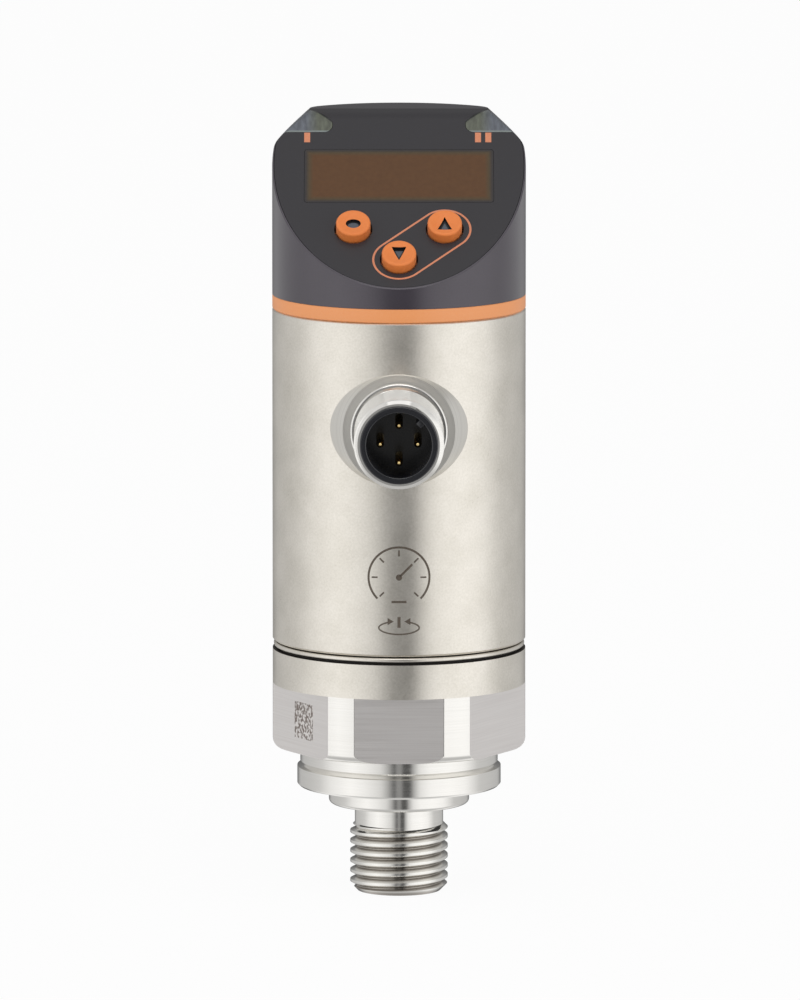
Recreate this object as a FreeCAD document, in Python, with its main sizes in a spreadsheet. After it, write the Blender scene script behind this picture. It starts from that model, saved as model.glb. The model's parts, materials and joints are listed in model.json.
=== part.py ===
# Electronic pressure transmitter with a sloped display head, an M12 connector and a G 1/4 A
# process thread.  Millimetres, +Z up, connector towards -Y.  The origin is on the turning axis
# in the plane of the sealing face, which is the underside of the seal collar above the thread.
import FreeCAD, Part
import os
import re
import Sketcher
from FreeCAD import Placement, Rotation, Vector

doc = FreeCAD.newDocument("PressureTransmitter")

# ---------------------------------------------------------------- driving sizes
SIZES = {
    # process thread G 1/4 A and the neck above it
    "thread_radius": 6.5785,
    "thread_length": 8.6,
    "thread_chamfer": 1.0,
    "neck_depth": 0.6285,
    "neck_length": 3.3,
    "neck_fillet": 0.45,
    "port_radius": 2.6,
    "port_depth": 6.0,
    "channel_radius": 1.5,
    # collars, wrench flats and band of the process connection
    "seal_collar_radius": 9.45,
    "seal_collar_height": 2.5,
    "edge_break": 0.3,
    "seal_groove_step": 0.65,
    "seal_groove_width": 2.0,
    "seal_groove_depth": 1.5,
    "seal_clearance": 0.1,
    "shoulder_radius": 13.7,
    "shoulder_upper_radius": 13.3,
    "shoulder_height": 5.2,
    "shoulder_groove_rise": 3.0,
    "shoulder_groove_width": 0.7,
    "shoulder_groove_depth": 0.5,
    "hex_height": 8.85,
    "hex_chamfer": 1.0,
    "hex_front_depth": 1.08,
    "hex_side_depth": 1.73,
    "band_height": 4.65,
    # turning joint between process connection and housing
    "slip_gap_height": 1.16,
    "slip_lip_inset": 0.15,
    "slip_lip_low": 0.32,
    "slip_lip_high": 0.98,
    "slip_lip_round": 0.24,
    "slip_running_gap": 0.05,
    "slip_recess": 0.8,
    "spigot_inset": 2.5,
    "spigot_height": 9.8,
    "turning_clearance": 0.05,
    "rotation_groove_rise": 2.8,
    "rotation_groove_width": 2.0,
    "rotation_groove_depth": 1.4,
    "rotation_seal_section": 0.69,
    "retainer_gap": 0.1,
    "retainer_groove_width": 1.1,
    "retainer_groove_depth": 1.0,
    "retainer_thickness": 1.0,
    "retainer_stand_out": 0.6,
    "retainer_split": 3.0,
    "stop_pin_radius": 0.6,
    "stop_pin_inset": 2.6,
    "stop_pin_hole_depth": 3.0,
    "stop_pin_stand_out": 2.0,
    "stop_pin_chamfer": 0.15,
    "stop_lug_width": 1.55,
    "stop_lug_length": 2.0,
    "stop_lug_clearance": 0.3,
    # measuring cell in the process connection
    "chamber_floor": 9.6,
    "cell_seat_height": 0.4,
    "cell_seat_width": 0.6,
    "cell_radius": 9.5,
    "cell_clearance": 0.1,
    "cell_thickness": 4.0,
    "cell_chamfer": 0.3,
    "cell_groove_inset": 3.3,
    "cell_groove_width": 2.0,
    "cell_groove_depth": 1.1,
    "clamp_thread_step": 0.7,
    "clamp_thread_clearance": 0.05,
    "clamp_ring_height": 3.5,
    "clamp_ring_wall": 2.6,
    "clamp_slot_width": 2.0,
    "clamp_slot_depth": 1.5,
    "cell_board_gap": 0.6,
    "cell_board_thickness": 1.0,
    "cell_socket_size": 3.0,
    "cell_socket_height": 1.6,
    "cell_chip_size": 3.4,
    "cell_chip_height": 1.0,
    "cell_chip_inset": 2.8,
    "cable_radius": 0.9,
    "cable_gap": 0.3,
    # restrictor screw in the port
    "restrictor_length": 5.0,
    "restrictor_inset": 0.5,
    "restrictor_clearance": 0.05,
    "restrictor_bore": 0.3,
    "restrictor_socket": 1.3,
    "restrictor_socket_depth": 2.0,
    # housing sleeve
    "body_radius": 17.0,
    "sleeve_wall": 1.7,
    "sleeve_length": 44.91,
    "sleeve_collar_height": 5.64,
    "sleeve_edge_break": 0.25,
    "snap_groove_depth": 0.35,
    "snap_groove_width": 1.2,
    "snap_groove_drop": 3.87,
    # connector and the boss that it is welded into
    "connector_drop": 14.45,
    "boss_stand_out": 0.15,
    "boss_step": 1.5,
    "boss_slope": 0.59,
    "boss_depth": 3.2,
    "flange_step": 0.5,
    "flange_thickness": 1.2,
    "flange_chamfer": 0.2,
    "undercut_depth": 0.55,
    "undercut_length": 1.25,
    "undercut_slope": 0.45,
    "connector_radius": 6.0,
    "connector_length": 13.5,
    "connector_chamfer": 0.5,
    "connector_fit": 0.02,
    "shank_depth": 4.6,
    "shell_wall": 1.0,
    "insert_clearance": 0.05,
    "insert_rim_step": 0.2,
    "insert_rim_height": 0.5,
    "insert_rim_chamfer": 0.2,
    "insert_back": 3.0,
    "insert_wall": 0.5,
    "socket_depth": 9.0,
    "key_width": 0.9,
    "key_reach": 0.9,
    "key_inset": 0.4,
    "insert_groove_depth": 0.8,
    "insert_groove_width": 1.2,
    "insert_groove_offset": 4.5,
    "insert_seal_section": 0.4,
    "contact_radius": 0.5,
    "contact_circle": 2.5,
    "contact_inset": 1.2,
    "contact_tip": 0.25,
    "contact_clearance": 0.02,
    "contact_tail": 0.4,
    "retainer_ring_wall": 1.1,
    "retainer_ring_clearance": 0.03,
    # circuit boards inside the sleeve
    "connector_board_gap": 0.8,
    "connector_board_half_width": 6.5,
    "connector_board_thickness": 1.0,
    "link_header_half_width": 5.0,
    "link_header_height": 2.5,
    "link_header_drop": 5.8,
    "main_board_inset": 2.8,
    "main_board_thickness": 1.6,
    "main_board_back": 3.2,
    "main_board_top_gap": 0.9,
    "board_fit": 0.05,
    "cable_block_half_width": 2.5,
    "cable_block_rise": 1.5,
    "cable_block_height": 5.0,
    "cable_block_depth": 4.4,
    "controller_size": 7.0,
    "controller_height": 1.2,
    "driver_size": 4.0,
    "driver_height": 1.5,
    "capacitor_radius": 2.2,
    "capacitor_length": 5.5,
    "component_gap": 0.5,
    # moulded board carrier
    "carrier_rise": 2.3,
    "carrier_ring_height": 2.0,
    "carrier_ring_wall": 4.7,
    "carrier_clearance": 0.1,
    "carrier_rail_inset": 1.0,
    "carrier_rail_width": 3.4,
    "carrier_rail_front": 6.8,
    "carrier_rail_rear": 1.2,
    "carrier_top_height": 3.5,
    "carrier_top_wall": 4.5,
    "carrier_screw_inset": 3.2,
    "carrier_screw_y": 5.5,
    "carrier_screw_radius": 1.0,
    "carrier_screw_length": 8.0,
    "carrier_screw_head": 1.9,
    "carrier_screw_head_height": 1.3,
    "screw_clearance": 0.1,
    "screw_slot_width": 0.5,
    "screw_slot_depth": 0.5,
    # accent ring and head
    "accent_height": 1.87,
    "accent_edge": 0.15,
    "ring_clearance": 0.05,
    "head_height": 23.76,
    "head_wall": 2.0,
    "head_top_wall": 1.7,
    "head_shoulder": 1.5,
    "face_rise": 2.71,
    "face_tilt": 40.7,
    "cut_overrun": 2.0,
    "brow_radius": 4.0,
    "corner_run": 5.05,
    "corner_drop": 3.96,
    "corner_radius": 1.5,
    "rim_radius": 0.15,
    "skirt_length": 6.6,
    "skirt_clearance": 0.1,
    "skirt_wall": 1.6,
    "skirt_chamfer": 0.3,
    "bead_height": 0.3,
    "bead_width": 0.4,
    "head_groove_rise": 2.86,
    "head_groove_width": 1.4,
    "head_groove_depth": 1.0,
    "head_seal_section": 0.52,
    "boss_block_wall": 1.8,
    "boss_block_front": 3.4,
    "boss_block_rear": 7.6,
    "boss_block_height": 10.0,
    "boss_block_joint": 0.5,
    # face plate, display and buttons, in the plane of the sloped face
    "plate_thickness": 1.6,
    "plate_rim": 0.2,
    "plate_gap": 0.08,
    "window_inset": 4.3,
    "window_low": 15.55,
    "window_high": 25.25,
    "window_fit": 0.04,
    "window_corner": 0.5,
    "button_x": 6.1,
    "button_upper": 10.75,
    "button_lower": 5.3,
    "button_radius": 2.3,
    "button_height": 1.4,
    "button_edge": 0.25,
    "button_gap": 0.25,
    "button_flange_radius": 3.0,
    "button_flange_thickness": 0.65,
    "button_flange_gap": 0.05,
    "button_foot_radius": 1.0,
    "button_foot_height": 0.15,
    "symbol_depth": 0.3,
    "dot_radius": 0.95,
    "arrow_half_width": 0.9,
    "arrow_height": 2.1,
    "display_board_gap": 3.0,
    "display_board_thickness": 1.2,
    "display_board_side": 0.4,
    "display_board_low": 2.6,
    "display_board_margin": 1.7,
    "display_board_clearance": 0.2,
    "display_side": 0.7,
    "display_margin": 0.5,
    "display_clearance": 0.05,
    "switch_size": 3.2,
    "switch_height": 1.5,
    "switch_stem_radius": 0.7,
    "switch_stem_length": 1.5,
    "switch_stem_clearance": 0.08,
    "switch_floor": 0.1,
    "ledge_wall": 1.5,
    "ledge_low": 9.4,
    "ledge_high": 13.6,
    "ledge_thickness": 4.0,
    "board_screw_inset": 3.1,
    "board_screw_rise": 11.5,
    "board_screw_radius": 0.8,
    "board_screw_length": 4.4,
    "board_screw_head": 1.6,
    "board_screw_head_height": 1.0,
    "flex_half_width": 4.0,
    "flex_thickness": 0.3,
    "flex_overlap": 6.5,
    # status lights
    "lens_inset": 8.05,
    "lens_drop": 3.9,
    "lens_corner": 1.2,
    "lens_side": 2.1,
    "lens_slant": 4.0,
    "lens_depth": 3.0,
    "lens_fit": 0.05,
    "led_inset": 7.1,
    "led_drop": 3.6,
    "led_length": 1.6,
    "led_width": 0.8,
    "led_height": 0.7,
}

# Sizes that follow from others.  Every fit, seat and level is worked out here, so that it moves
# with the size it belongs to.
FOLLOWING = {
    # levels along the axis
    "thread_end": "-neck_length - thread_length",
    "hex_bottom": "seal_collar_height + shoulder_height",
    "hex_top": "hex_bottom + hex_height",
    "band_top": "hex_top + band_height",
    "sleeve_bottom": "band_top + slip_gap_height",
    "sleeve_collar_top": "sleeve_bottom + sleeve_collar_height",
    "sleeve_top": "sleeve_bottom + sleeve_length",
    "spigot_top": "band_top + spigot_height",
    "head_bottom": "sleeve_top + accent_height",
    "head_top": "head_bottom + head_height",
    "skirt_bottom": "head_bottom - skirt_length",
    "cell_bottom": "chamber_floor + cell_seat_height",
    "cell_top": "cell_bottom + cell_thickness",
    "cell_board_top": "cell_top + cell_board_thickness",
    "connector_level": "sleeve_top - connector_drop",
    "carrier_bottom": "spigot_top + carrier_rise",
    "carrier_floor": "carrier_bottom + carrier_ring_height",
    "carrier_top": "skirt_bottom + carrier_top_height",
    "main_board_top": "skirt_bottom + main_board_top_gap",
    "cable_block_bottom": "carrier_floor + cable_block_rise",
    # radii that fit one another
    "neck_radius": "thread_radius - neck_depth",
    "seal_groove_inner": "neck_radius + seal_groove_step",
    "seal_groove_outer": "seal_groove_inner + seal_groove_width",
    "slip_lip_radius": "body_radius - slip_lip_inset",
    "spigot_radius": "body_radius - spigot_inset",
    "stop_pin_circle": "spigot_radius - stop_pin_inset",
    "cell_groove_inner": "cell_radius - cell_groove_inset",
    "cell_groove_outer": "cell_groove_inner + cell_groove_width",
    "clamp_thread_radius": "cell_radius + clamp_thread_step",
    "clamp_ring_bore": "clamp_thread_radius - clamp_ring_wall",
    "cell_board_radius": "clamp_ring_bore - cell_board_gap",
    "spigot_bore": "spigot_radius + turning_clearance",
    "sleeve_bore": "body_radius - sleeve_wall",
    "retainer_radius": "spigot_radius + retainer_stand_out",
    "chamber_radius": "cell_radius + cell_clearance",
    "clamp_bore": "clamp_thread_radius + clamp_thread_clearance",
    "skirt_radius": "sleeve_bore - skirt_clearance",
    "skirt_bore": "skirt_radius - skirt_wall",
    "head_bore": "body_radius - head_wall",
    "carrier_radius": "sleeve_bore - carrier_clearance",
    "carrier_ring_bore": "carrier_radius - carrier_ring_wall",
    "carrier_rail_outer": "sleeve_bore - carrier_rail_inset",
    "carrier_rail_inner": "carrier_rail_outer - carrier_rail_width",
    "carrier_top_radius": "skirt_bore - carrier_clearance",
    "carrier_top_bore": "carrier_top_radius - carrier_top_wall",
    "carrier_screw_x": "skirt_bore - carrier_screw_inset",
    "boss_block_inner": "carrier_screw_x - boss_block_wall",
    "main_board_half_width": "sleeve_bore - main_board_inset",
    "display_board_radius": "skirt_bore - display_board_clearance",
    "display_board_half_width": "skirt_bore - display_board_side",
    "board_screw_x": "skirt_bore - board_screw_inset",
    "ledge_inner": "board_screw_x - ledge_wall",
    "recess_radius": "body_radius - plate_rim",
    "plate_radius": "recess_radius - plate_gap",
    # the head's bevelled corners, and the same bevel a wall further in
    "corner_slope": "sqrt(corner_run ^ 2 + corner_drop ^ 2)",
    "hollow_top": "head_top - head_top_wall",
    "hollow_corner_x": "body_radius - corner_run - head_top_wall * (corner_slope - corner_run) / corner_drop",
    "hollow_corner_fall": "(head_bore - body_radius + corner_run) * corner_drop / corner_run",
    "hollow_corner_z": "head_top - hollow_corner_fall - head_top_wall * corner_slope / corner_run",
    # the connector, measured towards -Y
    "boss_radius": "connector_radius + boss_step",
    "flange_radius": "connector_radius + flange_step",
    "undercut_radius": "connector_radius - undercut_depth",
    "shell_bore": "connector_radius - shell_wall",
    "insert_rim_radius": "shell_bore + insert_rim_step",
    "socket_radius": "shell_bore - insert_wall",
    "retainer_ring_bore": "shell_bore - retainer_ring_wall",
    "boss_face": "body_radius + boss_stand_out",
    "flange_front": "boss_face + flange_thickness",
    "thread_start": "flange_front + undercut_length",
    "shell_front": "boss_face + connector_length",
    "shell_back": "body_radius - shank_depth",
    "insert_front": "shell_front + insert_rim_height",
    "insert_back_face": "body_radius - insert_back",
    "insert_radius": "shell_bore - insert_clearance",
    "socket_floor": "insert_front - socket_depth",
    "contact_front": "insert_front - contact_inset",
    "connector_board_front": "shell_back - connector_board_gap",
    "connector_board_back": "connector_board_front - connector_board_thickness",
    "main_board_front": "main_board_back + main_board_thickness",
    "link_header_bottom": "connector_level - link_header_drop",
    # the sloped face
    "face_low": "head_bottom + face_rise",
    "face_length": "(head_top - face_low) / sin(face_tilt * 1 deg)",
    "face_back": "(head_top - face_low) / tan(face_tilt * 1 deg) - body_radius",
    "cut_length": "4 * body_radius",
    "window_half_width": "body_radius - window_inset",
    "window_inner": "window_half_width - window_fit",
    "display_half_width": "window_half_width - display_side",
    "display_board_front": "plate_thickness + display_board_gap",
    "display_board_back": "display_board_front + display_board_thickness",
    "display_board_high": "face_length - display_board_margin",
    "button_flange_top": "plate_thickness + button_flange_gap",
    "button_flange_bottom": "button_flange_top + button_flange_thickness",
    "button_bottom": "button_flange_bottom + button_foot_height",
    "lens_edge": "body_radius - lens_inset",
    "lens_low": "face_length - lens_drop",
}

sheet = doc.addObject("Spreadsheet::Sheet", "Sizes")
for row, (name, number) in enumerate(SIZES.items(), start=1):
    sheet.set(f"A{row}", name)
    sheet.set(f"B{row}", str(number))
    sheet.setAlias(f"B{row}", name)
doc.recompute()


def sized(text):
    """The expression for a size written with the names above."""
    def spelled(match):
        name = match.group()
        if name in SIZES:
            return "Sizes." + name
        if name in FOLLOWING:
            return "(" + sized(FOLLOWING[name]) + ")"
        return name
    return re.sub(r"[a-z_]+", spelled, text)


def value(text):
    """The number that a size comes to."""
    return float(sheet.evalExpression(sized(text)))


def bind(thing, **sizes):
    """Ties properties of an object to sizes."""
    for name, text in sizes.items():
        thing.setExpression(name, sized(text))


def place(thing, x="0", y="0", z="0"):
    """Ties the place of an object to sizes, and leaves the way it is turned."""
    for axis, text in (("x", x), ("y", y), ("z", z)):
        thing.setExpression("Placement.Base." + axis, sized(text))
    return thing


def place_on_face(thing, x, rise, out):
    """Puts an object on the sloped face: x across, rise up the slope from its lower tip, out from
    it.  The object's own X, Y and Z then run across, up and out."""
    thing.Placement = Placement(Vector(), Rotation(Vector(1, 0, 0), value("face_tilt")))
    thing.setExpression("Placement.Rotation.Angle", sized("face_tilt * 1 deg"))
    across = "sin(face_tilt * 1 deg)"
    along = "cos(face_tilt * 1 deg)"
    return place(
        thing, x,
        f"-body_radius + ({rise}) * {along} - ({out}) * {across}",
        f"face_low + ({rise}) * {across} + ({out}) * {along}",
    )


def rod(name, radius, x, y, low, high):
    """An upright cylinder."""
    thing = doc.addObject("Part::Cylinder", name)
    bind(thing, Radius=radius, Height=f"({high}) - ({low})")
    return place(thing, x, y, low)


def front_rod(name, radius, x, z, back, front):
    """A cylinder along -Y; back and front are distances in front of the axis."""
    thing = doc.addObject("Part::Cylinder", name)
    bind(thing, Radius=radius, Height=f"({front}) - ({back})")
    thing.Placement = Placement(Vector(), Rotation(Vector(1, 0, 0), 90))
    return place(thing, x, f"-({back})", z)


def face_rod(name, radius, x, rise, low, high):
    """A cylinder that stands square on the sloped face."""
    thing = doc.addObject("Part::Cylinder", name)
    bind(thing, Radius=radius, Height=f"({high}) - ({low})")
    return place_on_face(thing, x, rise, low)


def block(name, x, y, z):
    """A box between two values on each axis."""
    thing = doc.addObject("Part::Box", name)
    bind(thing, Length=f"({x[1]}) - ({x[0]})", Width=f"({y[1]}) - ({y[0]})", Height=f"({z[1]}) - ({z[0]})")
    return place(thing, x[0], y[0], z[0])


def face_block(name, x, rise, out):
    """A box squared to the sloped face."""
    thing = doc.addObject("Part::Box", name)
    bind(thing, Length=f"({x[1]}) - ({x[0]})", Width=f"({rise[1]}) - ({rise[0]})")
    bind(thing, Height=f"({out[1]}) - ({out[0]})")
    return place_on_face(thing, x[0], rise[0], out[0])


def ring(name, radius, section, z):
    """An O-ring that lies level."""
    thing = doc.addObject("Part::Torus", name)
    bind(thing, Radius1=radius, Radius2=section)
    return place(thing, z=z)


def outline(sketch, corners):
    """Draws a closed outline of straight lines, each corner tied to a pair of sizes."""
    points = [Vector(value(across), value(up), 0) for across, up in corners]
    count = len(points)
    for index in range(count):
        sketch.addGeometry(Part.LineSegment(points[index], points[(index + 1) % count]), False)
    for index in range(count):
        sketch.addConstraint(Sketcher.Constraint("Coincident", index, 2, (index + 1) % count, 1))
    for index, (across, up) in enumerate(corners):
        for kind, text, axis in (("DistanceX", across, -2), ("DistanceY", up, -1)):
            if text == "0":
                sketch.addConstraint(Sketcher.Constraint("PointOnObject", index, 1, axis))
                continue
            number = sketch.addConstraint(Sketcher.Constraint(kind, -1, 1, index, 1, value(text)))
            sketch.setExpression(f"Constraints[{number}]", sized(text))


def sketch_in(body, name, plane_role, corners):
    """A sketch on one of the body's own origin planes."""
    sketch = body.newObject("Sketcher::SketchObject", name)
    plane = [feature for feature in body.Origin.OriginFeatures if feature.Role == plane_role][0]
    sketch.AttachmentSupport = [(plane, "")]
    sketch.MapMode = "FlatFace"
    outline(sketch, corners)
    return sketch


def turned(name, corners, plane_role="XZ_Plane"):
    """A body turned about its sketch's upright axis: Z from XZ_Plane, Y from XY_Plane."""
    body = doc.addObject("PartDesign::Body", name)
    sketch = sketch_in(body, name + "_outline", plane_role, corners)
    revolution = body.newObject("PartDesign::Revolution", name + "_turned")
    revolution.Profile = sketch
    revolution.ReferenceAxis = (sketch, ["V_Axis"])
    revolution.Angle = 360.0
    body.Tip = revolution
    return body


def join(name, *things):
    thing = doc.addObject("Part::MultiFuse", name)
    thing.Shapes = list(things)
    thing.Refine = True
    return thing


def cut(name, base, *tools):
    thing = doc.addObject("Part::Cut", name)
    thing.Base = base
    thing.Tool = tools[0] if len(tools) == 1 else join(name + "_cutters", *tools)
    thing.Refine = True
    return thing


def common(name, base, tool):
    thing = doc.addObject("Part::Common", name)
    thing.Base = base
    thing.Tool = tool
    thing.Refine = True
    return thing


def group(name, *things):
    """Separate solids that make one sub-part."""
    thing = doc.addObject("Part::Compound", name)
    thing.Links = list(things)
    return thing


SUB_PARTS = []


def keep(thing, label):
    """Names a finished sub-part."""
    thing.Label = label
    SUB_PARTS.append(thing)
    return thing


SIDES = (("left", -1), ("right", 1))

# ---------------------------------------------------------------- process connection
# Turned from one bar: thread stem, neck, seal collar, shoulder, wrench flats, band and the spigot
# that the housing turns on, bored for the port and for the measuring cell.
process_turned = turned("process_turned", [
    ("port_radius", "thread_end"),
    ("thread_radius - thread_chamfer", "thread_end"),
    ("thread_radius", "thread_end + thread_chamfer"),
    ("thread_radius", "-neck_length"),
    ("neck_radius", "-neck_length + thread_radius - neck_radius"),
    ("neck_radius", "-neck_fillet"),
    ("neck_radius + neck_fillet", "0"),
    ("seal_groove_inner", "0"),
    ("seal_groove_inner", "seal_groove_depth"),
    ("seal_groove_outer", "seal_groove_depth"),
    ("seal_groove_outer", "0"),
    ("seal_collar_radius - edge_break", "0"),
    ("seal_collar_radius", "edge_break"),
    ("seal_collar_radius", "seal_collar_height"),
    ("shoulder_radius - edge_break", "seal_collar_height"),
    ("shoulder_radius", "seal_collar_height + edge_break"),
    ("shoulder_radius", "seal_collar_height + shoulder_groove_rise - shoulder_groove_width / 2"),
    ("shoulder_upper_radius - shoulder_groove_depth", "seal_collar_height + shoulder_groove_rise"),
    ("shoulder_upper_radius", "seal_collar_height + shoulder_groove_rise + shoulder_groove_width / 2"),
    ("shoulder_upper_radius", "hex_bottom"),
    ("body_radius - hex_chamfer", "hex_bottom"),
    ("body_radius", "hex_bottom + hex_chamfer"),
    ("body_radius", "band_top"),
    ("spigot_radius", "band_top"),
    ("spigot_radius", "band_top + rotation_groove_rise"),
    ("spigot_radius - rotation_groove_depth", "band_top + rotation_groove_rise"),
    ("spigot_radius - rotation_groove_depth", "band_top + rotation_groove_rise + rotation_groove_width"),
    ("spigot_radius", "band_top + rotation_groove_rise + rotation_groove_width"),
    ("spigot_radius", "sleeve_collar_top + retainer_gap"),
    ("spigot_radius - retainer_groove_depth", "sleeve_collar_top + retainer_gap"),
    ("spigot_radius - retainer_groove_depth", "sleeve_collar_top + retainer_gap + retainer_groove_width"),
    ("spigot_radius", "sleeve_collar_top + retainer_gap + retainer_groove_width"),
    ("spigot_radius", "spigot_top - edge_break"),
    ("spigot_radius - edge_break", "spigot_top"),
    ("clamp_bore", "spigot_top"),
    ("clamp_bore", "cell_top - cell_chamfer"),
    ("chamber_radius", "cell_top - cell_chamfer"),
    ("chamber_radius", "cell_bottom"),
    ("chamber_radius - cell_seat_width", "cell_bottom"),
    ("chamber_radius - cell_seat_width", "chamber_floor"),
    ("cell_groove_outer", "chamber_floor"),
    ("cell_groove_outer", "chamber_floor - cell_groove_depth"),
    ("cell_groove_inner", "chamber_floor - cell_groove_depth"),
    ("cell_groove_inner", "chamber_floor"),
    ("channel_radius", "chamber_floor"),
    ("channel_radius", "thread_end + port_depth"),
    ("port_radius", "thread_end + port_depth"),
])
flats = []
for angle in (0, 60, 120, 180, 240, 300):
    depth = "hex_front_depth" if angle in (0, 180) else "hex_side_depth"
    flat = doc.addObject("Part::Box", f"wrench_flat_{angle}")
    bind(flat, Length="2 * body_radius", Width="body_radius", Height="hex_height + hex_chamfer")
    turn = f"{angle} * 1 deg"
    reach = f"(body_radius - {depth})"
    flat.Placement = Placement(Vector(), Rotation(Vector(0, 0, 1), angle))
    place(
        flat,
        f"-body_radius * cos({turn}) - {reach} * sin({turn})",
        f"-body_radius * sin({turn}) + {reach} * cos({turn})",
        "hex_bottom - hex_chamfer",
    )
    flats.append(flat)
stop_pin_hole = rod(
    "stop_pin_hole", "stop_pin_radius", "0", "stop_pin_circle", "spigot_top - stop_pin_hole_depth",
    "spigot_top + edge_break",
)
keep(cut("process_connection", process_turned, stop_pin_hole, *flats), "process_connection")

# Sealing ring in the underside of the seal collar.
keep(turned("port_seal", [
    ("seal_groove_inner + seal_clearance", "seal_clearance"),
    ("seal_groove_outer - seal_clearance", "seal_clearance"),
    ("seal_groove_outer - seal_clearance", "seal_groove_depth"),
    ("seal_groove_inner + seal_clearance", "seal_groove_depth"),
]), "port_seal")

# Screw with a fine bore that damps pressure peaks, turned in from below with a hexagon key.
restrictor_blank = rod(
    "restrictor_blank", "port_radius - restrictor_clearance", "0", "0", "thread_end + restrictor_inset",
    "thread_end + restrictor_inset + restrictor_length",
)
restrictor_bore = rod(
    "restrictor_fine_bore", "restrictor_bore", "0", "0", "thread_end",
    "thread_end + restrictor_inset + restrictor_length + restrictor_inset",
)
restrictor_socket = doc.addObject("Part::Prism", "restrictor_hexagon")
restrictor_socket.Polygon = 6
bind(restrictor_socket, Circumradius="restrictor_socket", Height="restrictor_socket_depth + restrictor_inset")
place(restrictor_socket, z="thread_end")
keep(cut("restrictor_screw", restrictor_blank, restrictor_bore, restrictor_socket), "restrictor_screw")

# ---------------------------------------------------------------- measuring cell
# Ceramic disc that carries the diaphragm on its underside.
keep(turned("measuring_cell", [
    ("0", "cell_bottom"),
    ("cell_radius - cell_chamfer", "cell_bottom"),
    ("cell_radius", "cell_bottom + cell_chamfer"),
    ("cell_radius", "cell_top - cell_chamfer"),
    ("cell_radius - cell_chamfer", "cell_top"),
    ("0", "cell_top"),
]), "measuring_cell")

cell_seal_section = "(cell_bottom - chamber_floor + cell_groove_depth) / 2"
keep(ring(
    "cell_seal", "(cell_groove_inner + cell_groove_outer) / 2", cell_seal_section,
    f"cell_bottom - {cell_seal_section}",
), "cell_seal")

# Threaded ring that clamps the cell, with two slots for a pin spanner.
clamp_blank = rod(
    "clamp_blank", "clamp_thread_radius", "0", "0", "cell_top", "cell_top + clamp_ring_height",
)
clamp_bore = rod(
    "clamp_ring_opening", "clamp_ring_bore", "0", "0", "cell_top - edge_break",
    "cell_top + clamp_ring_height + edge_break",
)
clamp_slot = block(
    "clamp_slot", ("-body_radius", "body_radius"), ("-clamp_slot_width / 2", "clamp_slot_width / 2"),
    ("cell_top + clamp_ring_height - clamp_slot_depth", "cell_top + clamp_ring_height + edge_break"),
)
keep(cut("cell_clamp_ring", clamp_blank, clamp_bore, clamp_slot), "cell_clamp_ring")

# Round circuit board on the back of the cell, with its chip and the socket for the cell cable.
cell_disc = rod("cell_disc", "cell_board_radius", "0", "0", "cell_top", "cell_board_top")
cell_socket = block(
    "cell_socket", ("-cell_socket_size / 2", "cell_socket_size / 2"),
    ("-cell_socket_size / 2", "cell_socket_size / 2"),
    ("cell_board_top", "cell_board_top + cell_socket_height"),
)
cell_chip = block(
    "cell_chip", ("-cell_chip_size / 2", "cell_chip_size / 2"),
    ("cell_board_radius - cell_chip_inset - cell_chip_size / 2",
     "cell_board_radius - cell_chip_inset + cell_chip_size / 2"),
    ("cell_board_top", "cell_board_top + cell_chip_height"),
)
keep(join("cell_board", cell_disc, cell_socket, cell_chip), "cell_board")

# ---------------------------------------------------------------- turning joint
# Slip ring between the band and the sleeve; its rounded lip shows between two fine gaps.
slip_inner = "(spigot_radius + turning_clearance)"
slip_outer = "(body_radius - slip_recess)"
keep(turned("slip_ring", [
    (slip_inner, "band_top"),
    (slip_outer, "band_top"),
    (slip_outer, "band_top + slip_lip_low"),
    ("slip_lip_radius - slip_lip_round", "band_top + slip_lip_low"),
    ("slip_lip_radius", "band_top + slip_lip_low + slip_lip_round"),
    ("slip_lip_radius", "band_top + slip_lip_high - slip_lip_round"),
    ("slip_lip_radius - slip_lip_round", "band_top + slip_lip_high"),
    (slip_outer, "band_top + slip_lip_high"),
    (slip_outer, "sleeve_bottom - slip_running_gap"),
    (slip_inner, "sleeve_bottom - slip_running_gap"),
]), "slip_ring")

keep(ring(
    "rotation_seal", "spigot_radius - rotation_groove_depth + rotation_seal_section",
    "rotation_seal_section", "band_top + rotation_groove_rise + rotation_groove_width / 2",
), "rotation_seal")

# Split spring ring in the spigot's upper groove, which keeps the sleeve from lifting off.
retainer_low = "sleeve_collar_top + retainer_gap + (retainer_groove_width - retainer_thickness) / 2"
retainer_high = f"{retainer_low} + retainer_thickness"
retainer_disc = rod("retainer_disc", "retainer_radius", "0", "0", retainer_low, retainer_high)
retainer_inner = rod(
    "retainer_inner", "spigot_radius - retainer_groove_depth + retainer_ring_clearance", "0", "0",
    f"{retainer_low} - edge_break", f"{retainer_high} + edge_break",
)
retainer_split = block(
    "retainer_split_cut", ("-retainer_split / 2", "retainer_split / 2"), ("0", "body_radius"),
    (f"{retainer_low} - edge_break", f"{retainer_high} + edge_break"),
)
keep(cut("retaining_ring", retainer_disc, retainer_inner, retainer_split), "retaining_ring")

# Dowel in the top of the spigot, which stops the housing after almost a full turn.
stop_pin_top = "(spigot_top + stop_pin_stand_out)"
stop_pin = turned("stop_pin", [
    ("0", "spigot_top - stop_pin_hole_depth"),
    ("stop_pin_radius", "spigot_top - stop_pin_hole_depth"),
    ("stop_pin_radius", f"{stop_pin_top} - stop_pin_chamfer"),
    ("stop_pin_radius - stop_pin_chamfer", stop_pin_top),
    ("0", stop_pin_top),
])
keep(place(stop_pin, y="stop_pin_circle"), "stop_pin")

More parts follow.
